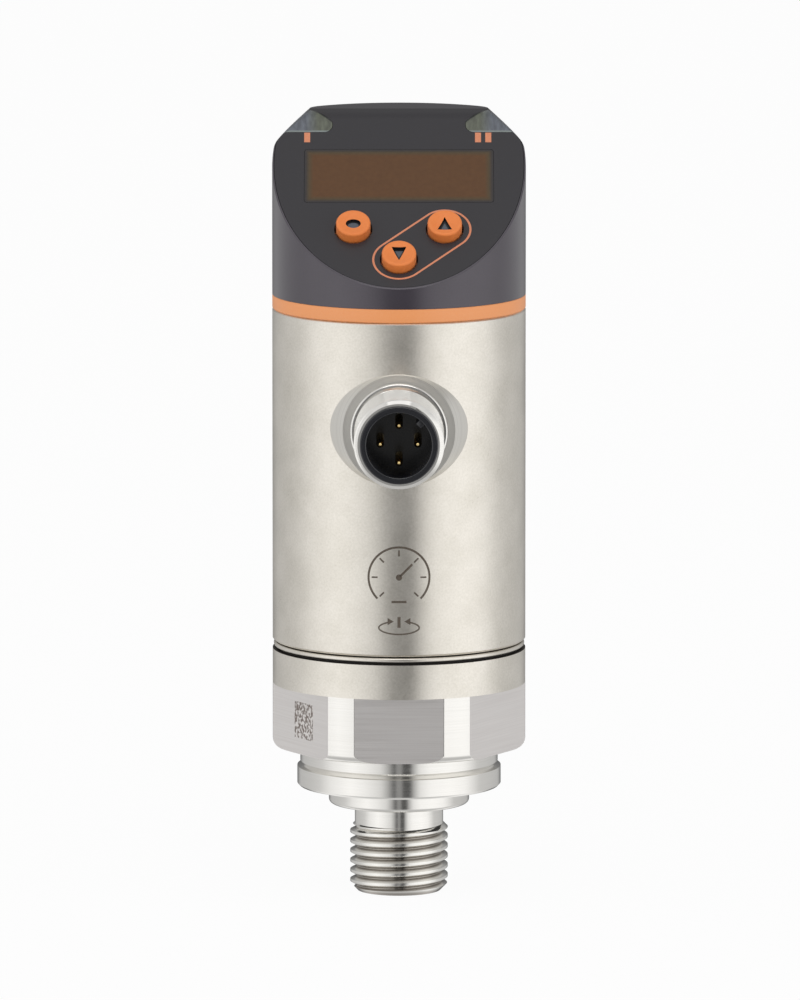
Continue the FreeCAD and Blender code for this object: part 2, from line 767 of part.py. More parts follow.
# ---------------------------------------------------------------- housing sleeve
# Drawn and turned tube with an inner collar that runs on the spigot, a snap groove for the head,
# and a conical boss, flat at its front, that the connector is welded into.
snap_middle = "(sleeve_top - snap_groove_drop + snap_groove_width / 2)"
sleeve_tube = turned("sleeve_tube", [
    ("spigot_bore", "sleeve_bottom"),
    ("body_radius - sleeve_edge_break", "sleeve_bottom"),
    ("body_radius", "sleeve_bottom + sleeve_edge_break"),
    ("body_radius", "sleeve_top - sleeve_edge_break"),
    ("body_radius - sleeve_edge_break", "sleeve_top"),
    ("sleeve_bore", "sleeve_top"),
    ("sleeve_bore", "sleeve_top - snap_groove_drop + snap_groove_width"),
    ("sleeve_bore + snap_groove_depth", f"{snap_middle} + snap_groove_width / 4"),
    ("sleeve_bore + snap_groove_depth", f"{snap_middle} - snap_groove_width / 4"),
    ("sleeve_bore", "sleeve_top - snap_groove_drop"),
    ("sleeve_bore", "sleeve_collar_top"),
    ("spigot_bore", "sleeve_collar_top"),
])
boss_cone = doc.addObject("Part::Cone", "boss_cone")
bind(boss_cone, Radius1="boss_radius + boss_slope * boss_depth", Radius2="boss_radius", Height="boss_depth")
boss_cone.Placement = Placement(Vector(), Rotation(Vector(1, 0, 0), 90))
place(boss_cone, y="-(boss_face - boss_depth)", z="connector_level")
boss_relief = rod("boss_relief", "sleeve_bore", "0", "0", "sleeve_collar_top", "sleeve_top")
boss = cut("boss", boss_cone, boss_relief)
connector_hole = front_rod(
    "connector_hole", "connector_radius + connector_fit", "0", "connector_level", "0",
    "boss_face + edge_break",
)
keep(cut("housing_sleeve", join("sleeve_with_boss", sleeve_tube, boss), connector_hole), "housing_sleeve")

# ---------------------------------------------------------------- M12 connector
# Turned shell: shank, flange, undercut and the outside for the M12 x 1 thread.
shell = turned("connector_shell", [
    ("shell_bore", "-shell_front"),
    ("connector_radius - connector_chamfer", "-shell_front"),
    ("connector_radius", "-shell_front + connector_chamfer"),
    ("connector_radius", "-thread_start"),
    ("undercut_radius", "-thread_start + undercut_slope"),
    ("undercut_radius", "-flange_front"),
    ("flange_radius - flange_chamfer", "-flange_front"),
    ("flange_radius", "-flange_front + flange_chamfer"),
    ("flange_radius", "-boss_face"),
    ("connector_radius", "-boss_face"),
    ("connector_radius", "-shell_back"),
    ("shell_bore", "-shell_back"),
], "XY_Plane")
keep(place(shell, z="connector_level"), "connector_shell")

# Moulded insert with the coding key, closed behind the socket.
seal_groove_front = "(insert_back_face + insert_groove_offset)"
seal_groove_back = "(insert_back_face + insert_groove_offset - insert_groove_width)"
insert_turned = turned("insert_turned", [
    ("0", "-socket_floor"),
    ("socket_radius", "-socket_floor"),
    ("socket_radius", "-insert_front"),
    ("insert_rim_radius - insert_rim_chamfer", "-insert_front"),
    ("insert_rim_radius", "-insert_front + insert_rim_chamfer"),
    ("insert_rim_radius", "-shell_front"),
    ("insert_radius", "-shell_front"),
    ("insert_radius", f"-{seal_groove_front}"),
    ("insert_radius - insert_groove_depth", f"-{seal_groove_front}"),
    ("insert_radius - insert_groove_depth", f"-{seal_groove_back}"),
    ("insert_radius", f"-{seal_groove_back}"),
    ("insert_radius", "-insert_back_face"),
    ("0", "-insert_back_face"),
], "XY_Plane")
place(insert_turned, z="connector_level")
coding_key = doc.addObject("Part::Box", "coding_key")
key_length = "(key_reach + (insert_radius - socket_radius) / 2)"
bind(coding_key, Length=key_length, Height="key_width")
bind(coding_key, Width="insert_front - key_inset - socket_floor + edge_break")
coding_key.Placement = Placement(Vector(), Rotation(Vector(0, 1, 0), -45))
key_start = "(socket_radius - key_reach)"
place(
    coding_key,
    f"{key_start} * cos(45 deg) + key_width / 2 * sin(45 deg)",
    "-(insert_front - key_inset)",
    f"connector_level + {key_start} * sin(45 deg) - key_width / 2 * cos(45 deg)",
)
contact_places = []
for angle in (0, 90, 180, 270):
    turn = f"{angle} * 1 deg"
    contact_places.append((
        f"contact_circle * cos({turn})",
        f"connector_level + contact_circle * sin({turn})",
    ))
contact_holes = []
board_holes = []
contacts = []
for number, (x, z) in enumerate(contact_places, start=1):
    contact_holes.append(front_rod(
        f"contact_hole_{number}", "contact_radius + contact_clearance", x, z,
        "insert_back_face - edge_break", "socket_floor + edge_break",
    ))
    board_holes.append(front_rod(
        f"contact_board_hole_{number}", "contact_radius + contact_clearance", x, z,
        "connector_board_back - edge_break", "connector_board_front + edge_break",
    ))
    stem = front_rod(
        f"contact_stem_{number}", "contact_radius", x, z, "connector_board_back - contact_tail",
        "contact_front - contact_tip",
    )
    tip = doc.addObject("Part::Cone", f"contact_tip_{number}")
    bind(tip, Radius1="contact_radius", Radius2="contact_radius - contact_tip", Height="contact_tip")
    tip.Placement = Placement(Vector(), Rotation(Vector(1, 0, 0), 90))
    place(tip, x, "-(contact_front - contact_tip)", z)
    contacts.append(join(f"contact_{number}", stem, tip))
insert_keyed = join("insert_keyed", insert_turned, coding_key)
keep(cut("connector_insert", insert_keyed, *contact_holes), "connector_insert")
keep(group("contact_pins", *contacts), "contact_pins")

connector_seal = doc.addObject("Part::Torus", "connector_seal")
bind(connector_seal, Radius1="insert_radius - insert_groove_depth + insert_seal_section")
bind(connector_seal, Radius2="insert_seal_section")
connector_seal.Placement = Placement(Vector(), Rotation(Vector(1, 0, 0), 90))
place(connector_seal, y=f"-({seal_groove_front} + {seal_groove_back}) / 2", z="connector_level")
keep(connector_seal, "connector_seal")

# Ring pressed into the shell behind the insert.
retainer_outside = front_rod(
    "retainer_outside", "shell_bore - retainer_ring_clearance", "0", "connector_level", "shell_back",
    "insert_back_face",
)
retainer_inside = front_rod(
    "retainer_inside", "retainer_ring_bore", "0", "connector_level", "shell_back - edge_break",
    "insert_back_face + edge_break",
)
keep(cut("connector_retainer", retainer_outside, retainer_inside), "connector_retainer")

# Small board that the contacts are soldered to, and the header that links it to the main board.
connector_plate = block(
    "connector_plate", ("-connector_board_half_width", "connector_board_half_width"),
    ("-connector_board_front", "-connector_board_back"),
    ("connector_level - connector_board_half_width", "connector_level + connector_board_half_width"),
)
keep(cut("connector_board", connector_plate, *board_holes), "connector_board")
keep(block(
    "link_header", ("-link_header_half_width", "link_header_half_width"),
    ("-connector_board_back", "-main_board_front"),
    ("link_header_bottom", "link_header_bottom + link_header_height"),
), "link_header")

# ---------------------------------------------------------------- main board
keep(block(
    "main_board", ("-main_board_half_width", "main_board_half_width"),
    ("-main_board_front", "-main_board_back"), ("carrier_floor", "main_board_top"),
), "main_board")

board_middle = "((carrier_floor + main_board_top) / 2)"
cable_block = block(
    "cable_block", ("-cable_block_half_width", "cable_block_half_width"),
    ("-main_board_back", "cable_block_depth - main_board_back"),
    ("cable_block_bottom", "cable_block_bottom + cable_block_height"),
)
controller_top = "(main_board_top - flex_overlap - component_gap)"
controller = block(
    "controller", ("-controller_size / 2", "controller_size / 2"),
    ("-main_board_back", "controller_height - main_board_back"),
    (f"{controller_top} - controller_size", controller_top),
)
drivers = []
capacitors = []
for side, sign in SIDES:
    driver_x = f"{sign} * (controller_size / 2 + driver_size) - driver_size / 2"
    drivers.append(block(
        f"driver_{side}", (driver_x, f"{driver_x} + driver_size"),
        ("-main_board_back", "driver_height - main_board_back"),
        (f"{board_middle} - driver_size", board_middle),
    ))
    capacitors.append(front_rod(
        f"capacitor_{side}", "capacitor_radius",
        f"{sign} * (link_header_half_width + capacitor_radius + component_gap)",
        "carrier_floor + 2 * capacitor_radius", "main_board_front", "main_board_front + capacitor_length",
    ))
keep(group("board_components", cable_block, controller, *drivers, *capacitors), "board_components")

# Cable from the cell to the main board.  It stands on the turning axis, so that it only twists.
keep(rod(
    "cell_cable", "cable_radius", "0", "0", "cell_board_top + cell_socket_height + cable_gap",
    "cable_block_bottom",
), "cell_cable")

# ---------------------------------------------------------------- board carrier
# Moulded frame: a ring that stands in the sleeve, two grooved rails for the main board, a ring in
# the skirt of the head, and the lug that meets the stop pin.
carrier_disc = rod("carrier_disc", "carrier_radius", "0", "0", "carrier_bottom", "carrier_floor")
carrier_opening = rod(
    "carrier_opening", "carrier_ring_bore", "0", "0", "carrier_bottom - edge_break",
    "carrier_floor + edge_break",
)
carrier_base = cut("carrier_base", carrier_disc, carrier_opening)
rails = []
for side, sign in SIDES:
    middle = f"{sign} * (carrier_rail_inner + carrier_rail_outer) / 2"
    half = "(carrier_rail_outer - carrier_rail_inner) / 2"
    rails.append(block(
        f"rail_{side}", (f"{middle} - {half}", f"{middle} + {half}"),
        ("-carrier_rail_front", "-carrier_rail_rear"), ("carrier_bottom", "carrier_top"),
    ))
lower_room = rod("lower_room", "carrier_radius", "0", "0", "carrier_bottom", "skirt_bottom - carrier_clearance")
upper_room = rod(
    "upper_room", "carrier_top_radius", "0", "0", "skirt_bottom - 2 * carrier_clearance", "carrier_top",
)
rails_fitted = common("rails_fitted", join("rails", *rails), join("carrier_room", lower_room, upper_room))
carrier_cap = rod("carrier_cap", "carrier_top_radius", "0", "0", "skirt_bottom", "carrier_top")
carrier_cap_opening = rod(
    "carrier_cap_opening", "carrier_top_bore", "0", "0", "skirt_bottom - edge_break",
    "carrier_top + edge_break",
)
carrier_cap_ring = cut("carrier_cap_ring", carrier_cap, carrier_cap_opening)
stop_lug = block(
    "stop_lug", ("-stop_lug_width / 2", "stop_lug_width / 2"),
    ("-stop_pin_circle - stop_lug_length / 2", "-stop_pin_circle + stop_lug_length / 2"),
    ("spigot_top + stop_lug_clearance", "carrier_floor"),
)
board_slot = block(
    "board_slot", ("-main_board_half_width - board_fit", "main_board_half_width + board_fit"),
    ("-main_board_front - board_fit", "-main_board_back + board_fit"),
    ("carrier_floor", "carrier_top + edge_break"),
)
carrier_holes = []
for side, sign in SIDES:
    carrier_holes.append(rod(
        f"carrier_hole_{side}", "carrier_screw_radius + screw_clearance", f"{sign} * carrier_screw_x",
        "carrier_screw_y", "skirt_bottom - edge_break", "carrier_top + edge_break",
    ))
carrier_moulding = join("carrier_moulding", carrier_base, rails_fitted, carrier_cap_ring, stop_lug)
keep(cut("board_carrier", carrier_moulding, board_slot, *carrier_holes), "board_carrier")

# Two slotted screws that hold the carrier to the head from below.
carrier_screws = []
for side, sign in SIDES:
    x = f"{sign} * carrier_screw_x"
    shank = rod(
        f"carrier_shank_{side}", "carrier_screw_radius", x, "carrier_screw_y", "skirt_bottom",
        "skirt_bottom + carrier_screw_length",
    )
    head = rod(
        f"carrier_head_{side}", "carrier_screw_head", x, "carrier_screw_y",
        "skirt_bottom - carrier_screw_head_height", "skirt_bottom",
    )
    slot = block(
        f"carrier_slot_{side}",
        (f"{x} - carrier_screw_head", f"{x} + carrier_screw_head"),
        ("carrier_screw_y - screw_slot_width / 2", "carrier_screw_y + screw_slot_width / 2"),
        ("skirt_bottom - carrier_screw_head_height - screw_slot_depth",
         "skirt_bottom - carrier_screw_head_height + screw_slot_depth"),
    )
    carrier_screws.append(cut(f"carrier_screw_{side}", join(f"carrier_bolt_{side}", shank, head), slot))
keep(group("carrier_screws", *carrier_screws), "carrier_screws")

# ---------------------------------------------------------------- accent ring and head seal
keep(turned("accent_ring", [
    ("skirt_radius + ring_clearance", "sleeve_top"),
    ("body_radius - accent_edge", "sleeve_top"),
    ("body_radius", "sleeve_top + accent_edge"),
    ("body_radius", "head_bottom - accent_edge"),
    ("body_radius - accent_edge", "head_bottom"),
    ("skirt_radius + ring_clearance", "head_bottom"),
]), "accent_ring")

keep(ring(
    "head_seal", "skirt_radius - head_groove_depth + head_seal_section", "head_seal_section",
    "skirt_bottom + head_groove_rise + head_groove_width / 2",
), "head_seal")

# ---------------------------------------------------------------- head
# Outer form of the head: a cylinder cut by the sloped face and by two bevelled upper corners,
# with a soft brow between face and top.
head_form = doc.addObject("PartDesign::Body", "head_form")
head_circle = head_form.newObject("Sketcher::SketchObject", "head_circle")
head_plane = [feature for feature in head_form.Origin.OriginFeatures if feature.Role == "XY_Plane"][0]
head_circle.AttachmentSupport = [(head_plane, "")]
head_circle.MapMode = "FlatFace"
head_circle.addGeometry(Part.Circle(Vector(), Vector(0, 0, 1), value("body_radius")), False)
head_circle.addConstraint(Sketcher.Constraint("Coincident", 0, 3, -1, 1))
circle_size = head_circle.addConstraint(Sketcher.Constraint("Radius", 0, value("body_radius")))
head_circle.setExpression(f"Constraints[{circle_size}]", sized("body_radius"))
head_circle.setExpression("AttachmentOffset.Base.z", sized("head_bottom"))
head_pad = head_form.newObject("PartDesign::Pad", "head_pad")
head_pad.Profile = head_circle
bind(head_pad, Length="head_height")

corner_overrun = "cut_overrun * corner_drop / corner_run"
for side, sign in SIDES:
    corner = sketch_in(head_form, f"corner_{side}", "XZ_Plane", [
        (f"{sign} * (body_radius - corner_run - cut_overrun)", f"head_top + {corner_overrun}"),
        (f"{sign} * (body_radius + cut_overrun)", f"head_top - corner_drop - {corner_overrun}"),
        (f"{sign} * (body_radius + cut_overrun)", f"head_top + {corner_overrun}"),
    ])
    corner_pocket = head_form.newObject("PartDesign::Pocket", f"corner_pocket_{side}")
    corner_pocket.Profile = corner
    corner_pocket.Midplane = True
    bind(corner_pocket, Length="cut_length")
head_form.Tip = corner_pocket
doc.recompute()


def edge_names(shape, wanted):
    """Names of the edges that pass a test."""
    return [f"Edge{index}" for index, edge in enumerate(shape.Edges, start=1) if wanted(edge)]


def corner_line(edge):
    """True for an edge where a bevelled corner meets the round side."""
    return edge.Curve.TypeId == "Part::GeomEllipse"


corners_rounded = head_form.newObject("PartDesign::Fillet", "corners_rounded")
corners_rounded.Base = (corner_pocket, edge_names(corner_pocket.Shape, corner_line))
bind(corners_rounded, Radius="corner_radius")

face_run = "((head_top - face_low) / tan(face_tilt * 1 deg) + cut_overrun)"
face_slope = sketch_in(head_form, "face_slope", "YZ_Plane", [
    ("-body_radius - cut_overrun", "face_low - cut_overrun * tan(face_tilt * 1 deg)"),
    (f"-body_radius + {face_run}", f"face_low + {face_run} * tan(face_tilt * 1 deg)"),
    ("-body_radius - cut_overrun", f"face_low + {face_run} * tan(face_tilt * 1 deg)"),
])
face_pocket = head_form.newObject("PartDesign::Pocket", "face_pocket")
face_pocket.Profile = face_slope
face_pocket.Midplane = True
bind(face_pocket, Length="cut_length")
head_form.Tip = face_pocket
doc.recompute()

NEAR = 0.01
head_bottom = value("head_bottom")
head_top = value("head_top")
face_back = value("face_back")


def brow_line(edge):
    """True for the edge between the sloped face and the top."""
    ends = [vertex.Point for vertex in edge.Vertexes]
    return all(abs(end.z - head_top) < NEAR and abs(end.y - face_back) < NEAR for end in ends)


def upper_edge(edge):
    """True for an edge clear of the head's bottom, other than the straight ends of the brow."""
    ends = [vertex.Point for vertex in edge.Vertexes]
    across = abs(ends[0].y - ends[-1].y) < NEAR and abs(ends[0].z - ends[-1].z) < NEAR
    return min(end.z for end in ends) > head_bottom + NEAR and not across


brow = head_form.newObject("PartDesign::Fillet", "brow")
brow.Base = (face_pocket, edge_names(face_pocket.Shape, brow_line))
bind(brow, Radius="brow_radius")
doc.recompute()
softened = head_form.newObject("PartDesign::Fillet", "softened")
softened.Base = (brow, edge_names(brow.Shape, upper_edge))
bind(softened, Radius="rim_radius")
head_form.Tip = softened

# Skirt of the head, with a snap bead and a groove for its seal.
head_groove_low = "(skirt_bottom + head_groove_rise)"
skirt = turned("skirt", [
    ("skirt_bore", "skirt_bottom"),
    ("skirt_radius - skirt_chamfer", "skirt_bottom"),
    ("skirt_radius", "skirt_bottom + skirt_chamfer"),
    ("skirt_radius", f"{snap_middle} - bead_width"),
    ("skirt_radius + bead_height", f"{snap_middle} - bead_width / 4"),
    ("skirt_radius + bead_height", f"{snap_middle} + bead_width / 4"),
    ("skirt_radius", f"{snap_middle} + bead_width"),
    ("skirt_radius", head_groove_low),
    ("skirt_radius - head_groove_depth", head_groove_low),
    ("skirt_radius - head_groove_depth", f"{head_groove_low} + head_groove_width"),
    ("skirt_radius", f"{head_groove_low} + head_groove_width"),
    ("skirt_radius", "head_bottom + head_shoulder"),
    ("skirt_bore", "head_bottom + head_shoulder"),
])

# Hollow of the head: as wide as the skirt's bore below the shoulder, wider above it, and bevelled
# like the outside.
lower_hollow = rod(
    "lower_hollow", "skirt_bore", "0", "0", "skirt_bottom - edge_break",
    "head_bottom + head_shoulder + edge_break",
)
upper_hollow = rod("upper_hollow", "head_bore", "0", "0", "head_bottom + head_shoulder", "hollow_top")
hollow_sketch = doc.addObject("Sketcher::SketchObject", "hollow_sketch")
hollow_sketch.Placement = Placement(Vector(), Rotation(Vector(1, 0, 0), 90))
outline(hollow_sketch, [
    ("-head_bore - cut_overrun", "head_bottom"),
    ("head_bore + cut_overrun", "head_bottom"),
    ("head_bore + cut_overrun", f"hollow_corner_z - {corner_overrun}"),
    ("hollow_corner_x", "hollow_top"),
    ("-hollow_corner_x", "hollow_top"),
    ("-head_bore - cut_overrun", f"hollow_corner_z - {corner_overrun}"),
])
hollow_prism = doc.addObject("Part::Extrusion", "hollow_prism")
hollow_prism.Base = hollow_sketch
hollow_prism.DirMode = "Normal"
hollow_prism.Symmetric = True
hollow_prism.Solid = True
bind(hollow_prism, LengthFwd="cut_length")
bevelled_hollow = common("bevelled_hollow", upper_hollow, hollow_prism)

# Room for the face plate: everything above its underside, within its own round wall.
face_slab = face_block(
    "face_slab", ("-cut_length", "cut_length"), ("-body_radius", "face_length + body_radius"),
    ("-plate_thickness", "head_height"),
)
recess = common("recess", rod("recess_room", "recess_radius", "0", "0", "head_bottom",
                              "head_top + edge_break"), face_slab)


def edges_along(shape, direction):
    """Numbers of the straight edges that run along a direction."""
    numbers = []
    for index, edge in enumerate(shape.Edges, start=1):
        if edge.Curve.TypeId == "Part::GeomLine":
            along = (edge.valueAt(edge.LastParameter) - edge.valueAt(edge.FirstParameter)).normalize()
            if abs(along.dot(direction)) > 0.999:
                numbers.append(index)
    return numbers


def rounded(name, base, radius):
    """Rounds the edges that stand square on the sloped face."""
    doc.recompute()
    thing = doc.addObject("Part::Fillet", name)
    thing.Base = base
    outward = Rotation(Vector(1, 0, 0), value("face_tilt")).multVec(Vector(0, 0, 1))
    size = value(radius)
    thing.Edges = [(number, size, size) for number in edges_along(base.Shape, outward)]
    return thing


def lens_prism(name, sign, room):
    """The upright block that a status lens fills, or with room around it, the pocket for it."""
    inner = f"(lens_edge - {room})"
    low = f"(lens_low - {room})"
    far = f"({low} + lens_side + lens_slant)"
    sketch = doc.addObject("Sketcher::SketchObject", name + "_sketch")
    outline(sketch, [
        (f"{sign} * (body_radius + cut_overrun)", low),
        (f"{sign} * {inner}", low),
        (f"{sign} * {inner}", f"{low} + lens_side"),
        (f"{sign} * ({inner} + lens_slant)", far),
        (f"{sign} * (body_radius + cut_overrun)", far),
    ])
    place_on_face(sketch, "0", "0", "-lens_depth")
    prism = doc.addObject("Part::Extrusion", name + "_prism")
    prism.Base = sketch
    prism.DirMode = "Normal"
    prism.Solid = True
    bind(prism, LengthFwd="lens_depth + body_radius")
    return rounded(name, prism, "lens_corner")


lens_pockets = [lens_prism(f"lens_pocket_{side}", sign, "lens_fit") for side, sign in SIDES]
head_shell = cut(
    "head_shell", join("head_and_skirt", head_form, skirt), lower_hollow, bevelled_hollow, recess,
    *lens_pockets,
)

# Inside the head: a block each side for a carrier screw, and a ledge each side for the display
# board and its screw.
fittings = []
fitting_holes = []
block_room = rod(
    "block_room", "skirt_bore + boss_block_joint", "0", "0", "carrier_top", "carrier_top + boss_block_height",
)
ledge_room = rod("ledge_room", "head_bore + boss_block_joint", "0", "0", "head_bottom", "head_top")
for side, sign in SIDES:
    middle = f"{sign} * (boss_block_inner + body_radius) / 2"
    half = "(body_radius - boss_block_inner) / 2"
    boss_block = block(
        f"boss_block_{side}", (f"{middle} - {half}", f"{middle} + {half}"),
        ("boss_block_front", "boss_block_rear"), ("carrier_top", "carrier_top + boss_block_height"),
    )
    fittings.append(common(f"boss_block_fitted_{side}", boss_block, block_room))
    middle = f"{sign} * (ledge_inner + body_radius) / 2"
    half = "(body_radius - ledge_inner) / 2"
    ledge = face_block(
        f"ledge_{side}", (f"{middle} - {half}", f"{middle} + {half}"), ("ledge_low", "ledge_high"),
        ("-display_board_back - ledge_thickness", "-display_board_back"),
    )
    fittings.append(common(f"ledge_fitted_{side}", ledge, ledge_room))
    fitting_holes.append(rod(
        f"boss_block_hole_{side}", "carrier_screw_radius", f"{sign} * carrier_screw_x", "carrier_screw_y",
        "carrier_top - edge_break", "skirt_bottom + carrier_screw_length + edge_break",
    ))
    fitting_holes.append(face_rod(
        f"ledge_hole_{side}", "board_screw_radius", f"{sign} * board_screw_x", "board_screw_rise",
        "-display_board_front - board_screw_length - edge_break", "-display_board_back + edge_break",
    ))
head_fitted = join("head_fitted", head_shell, *fittings)
keep(cut("head_cap", head_fitted, *fitting_holes), "head_cap")

# ---------------------------------------------------------------- face plate, window and lenses
plate_form = common("plate_form", head_form, rod("plate_room", "plate_radius", "0", "0", "head_bottom",
                                                 "head_top + edge_break"))
plate_blank = common("plate_blank", plate_form, face_slab)
window_opening = rounded("window_opening", face_block(
    "window_opening_block", ("-window_half_width", "window_half_width"), ("window_low", "window_high"),
    ("-plate_thickness - edge_break", "edge_break"),
), "window_corner")
BUTTONS = (
    ("enter", "-button_x", "button_upper"),
    ("down", "0", "button_lower"),
    ("up", "button_x", "button_upper"),
)
button_holes = []
for name, x, rise in BUTTONS:
    button_holes.append(face_rod(
        f"button_hole_{name}", "button_radius + button_gap", x, rise, "-plate_thickness - edge_break",
        "edge_break",
    ))
keep(cut("face_plate", plate_blank, window_opening, *button_holes, *lens_pockets), "face_plate")

keep(rounded("display_window", face_block(
    "display_window_block", ("-window_inner", "window_inner"),
    ("window_low + window_fit", "window_high - window_fit"), ("-plate_thickness", "0"),
), "window_corner"), "display_window")

for side, sign in SIDES:
    lens = common(f"status_lens_{side}", head_form, lens_prism(f"lens_block_{side}", sign, "0"))
    keep(lens, f"status_lens_{side}")

# ---------------------------------------------------------------- display board
display_plate = face_block(
    "display_plate", ("-display_board_half_width", "display_board_half_width"),
    ("display_board_low", "display_board_high"), ("-display_board_back", "-display_board_front"),
)
display_room = rod("display_room", "display_board_radius", "0", "0", "head_bottom", "head_top")
screw_openings = []
for side, sign in SIDES:
    screw_openings.append(face_rod(
        f"display_board_hole_{side}", "board_screw_radius + screw_clearance", f"{sign} * board_screw_x",
        "board_screw_rise", "-display_board_back - edge_break", "-display_board_front + edge_break",
    ))
display_board = common("display_board_round", display_plate, display_room)
keep(cut("display_board", display_board, *screw_openings), "display_board")

keep(face_block(
    "display_module", ("-display_half_width", "display_half_width"),
    ("window_low + display_margin", "window_high - display_margin"),
    ("-display_board_front", "-plate_thickness - display_clearance"),
), "display_module")

status_lights = []
for side, sign in SIDES:
    light_x = f"{sign} * (body_radius - led_inset) - led_length / 2"
    status_lights.append(face_block(
        f"status_light_{side}", (light_x, f"{light_x} + led_length"),
        ("face_length - led_drop - led_width / 2", "face_length - led_drop + led_width / 2"),
        ("-display_board_front", "led_height - display_board_front"),
    ))
keep(group("status_leds", *status_lights), "status_leds")

# Ribbon between the display board and the main board, cut off along the display board's back.
flex_straight = block(
    "flex_straight", ("-flex_half_width", "flex_half_width"),
    ("-main_board_back", "flex_thickness - main_board_back"), ("main_board_top - flex_overlap", "head_top"),
)
flex_end = face_block(
    "flex_end", ("-cut_length", "cut_length"), ("-cut_length", "cut_length"),
    ("-display_board_back", "head_height"),
)
keep(cut("display_flex", flex_straight, flex_end), "display_flex")

board_screws = []
for side, sign in SIDES:
    x = f"{sign} * board_screw_x"
    shank = face_rod(
        f"board_shank_{side}", "board_screw_radius", x, "board_screw_rise",
        "-display_board_front - board_screw_length", "-display_board_front",
    )
    head = face_rod(
        f"board_head_{side}", "board_screw_head", x, "board_screw_rise", "-display_board_front",
        "board_screw_head_height - display_board_front",
    )
    slot = face_block(
        f"board_screw_slot_{side}", (f"{x} - board_screw_head", f"{x} + board_screw_head"),
        ("board_screw_rise - screw_slot_width / 2", "board_screw_rise + screw_slot_width / 2"),
        ("board_screw_head_height - display_board_front - screw_slot_depth",
         "board_screw_head_height - display_board_front + edge_break"),
    )
    board_screws.append(cut(f"board_screw_{side}", join(f"board_bolt_{side}", shank, head), slot))
keep(group("board_screws", *board_screws), "board_screws")

# ---------------------------------------------------------------- buttons and their switches
switches = []
for name, x, rise in BUTTONS:
    cap = turned(f"button_cap_{name}", [
        ("0", "-button_bottom"),
        ("button_foot_radius", "-button_bottom"),
        ("button_foot_radius", "-button_flange_bottom"),
        ("button_flange_radius", "-button_flange_bottom"),
        ("button_flange_radius", "-button_flange_top"),
        ("button_radius", "-button_flange_top"),
        ("button_radius", "button_height - button_edge"),
        ("button_radius - button_edge", "button_height"),
        ("0", "button_height"),
    ])
    place_on_face(cap, x, rise, "0")
    if name == "enter":
        symbol = face_rod(
            "symbol_enter", "dot_radius", x, rise, "button_height - symbol_depth", "button_height + edge_break",
        )
    else:
        point = 1 if name == "up" else -1
        arrow = doc.addObject("Sketcher::SketchObject", f"arrow_{name}")
        outline(arrow, [
            ("0", f"{point} * arrow_height / 2"),
            ("-arrow_half_width", f"{-point} * arrow_height / 2"),
            ("arrow_half_width", f"{-point} * arrow_height / 2"),
        ])
        place_on_face(arrow, x, rise, "button_height - symbol_depth")
        symbol = doc.addObject("Part::Extrusion", f"symbol_{name}")
        symbol.Base = arrow
        symbol.DirMode = "Normal"
        symbol.Solid = True
        bind(symbol, LengthFwd="symbol_depth + edge_break")
    keep(cut(f"button_{name}", cap, symbol), f"button_{name}")
    stem_top = "-button_bottom"
    keep(face_rod(
        f"switch_stem_{name}", "switch_stem_radius", x, rise, f"{stem_top} - switch_stem_length", stem_top,
    ), f"switch_stem_{name}")
    switch_blank = face_block(
        f"switch_blank_{name}", (f"{x} - switch_size / 2", f"{x} + switch_size / 2"),
        (f"{rise} - switch_size / 2", f"{rise} + switch_size / 2"),
        ("-display_board_front", "switch_height - display_board_front"),
    )
    switch_bore = face_rod(
        f"switch_bore_{name}", "switch_stem_radius + switch_stem_clearance", x, rise,
        "switch_floor - display_board_front", "switch_height - display_board_front + edge_break",
    )
    switches.append(cut(f"switch_{name}", switch_blank, switch_bore))
keep(group("key_switches", *switches), "key_switches")

# ---------------------------------------------------------------- checks and files
doc.recompute()
for thing in doc.Objects:
    if "Invalid" in thing.State or "Error" in thing.State:
        raise RuntimeError(f"{thing.Label} did not build: {thing.State}")
for thing in SUB_PARTS:
    if thing.Shape.isNull() or not thing.Shape.isValid():
        raise RuntimeError(f"{thing.Label} has no valid shape")
os.makedirs("parts", exist_ok=True)
for thing in SUB_PARTS:
    thing.Shape.exportStep(f"parts/{thing.Label}.step")
    print(f"{thing.Label:20s} {len(thing.Shape.Solids)} solid(s)  {thing.Shape.Volume:10.3f} mm3")
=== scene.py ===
import json
import math

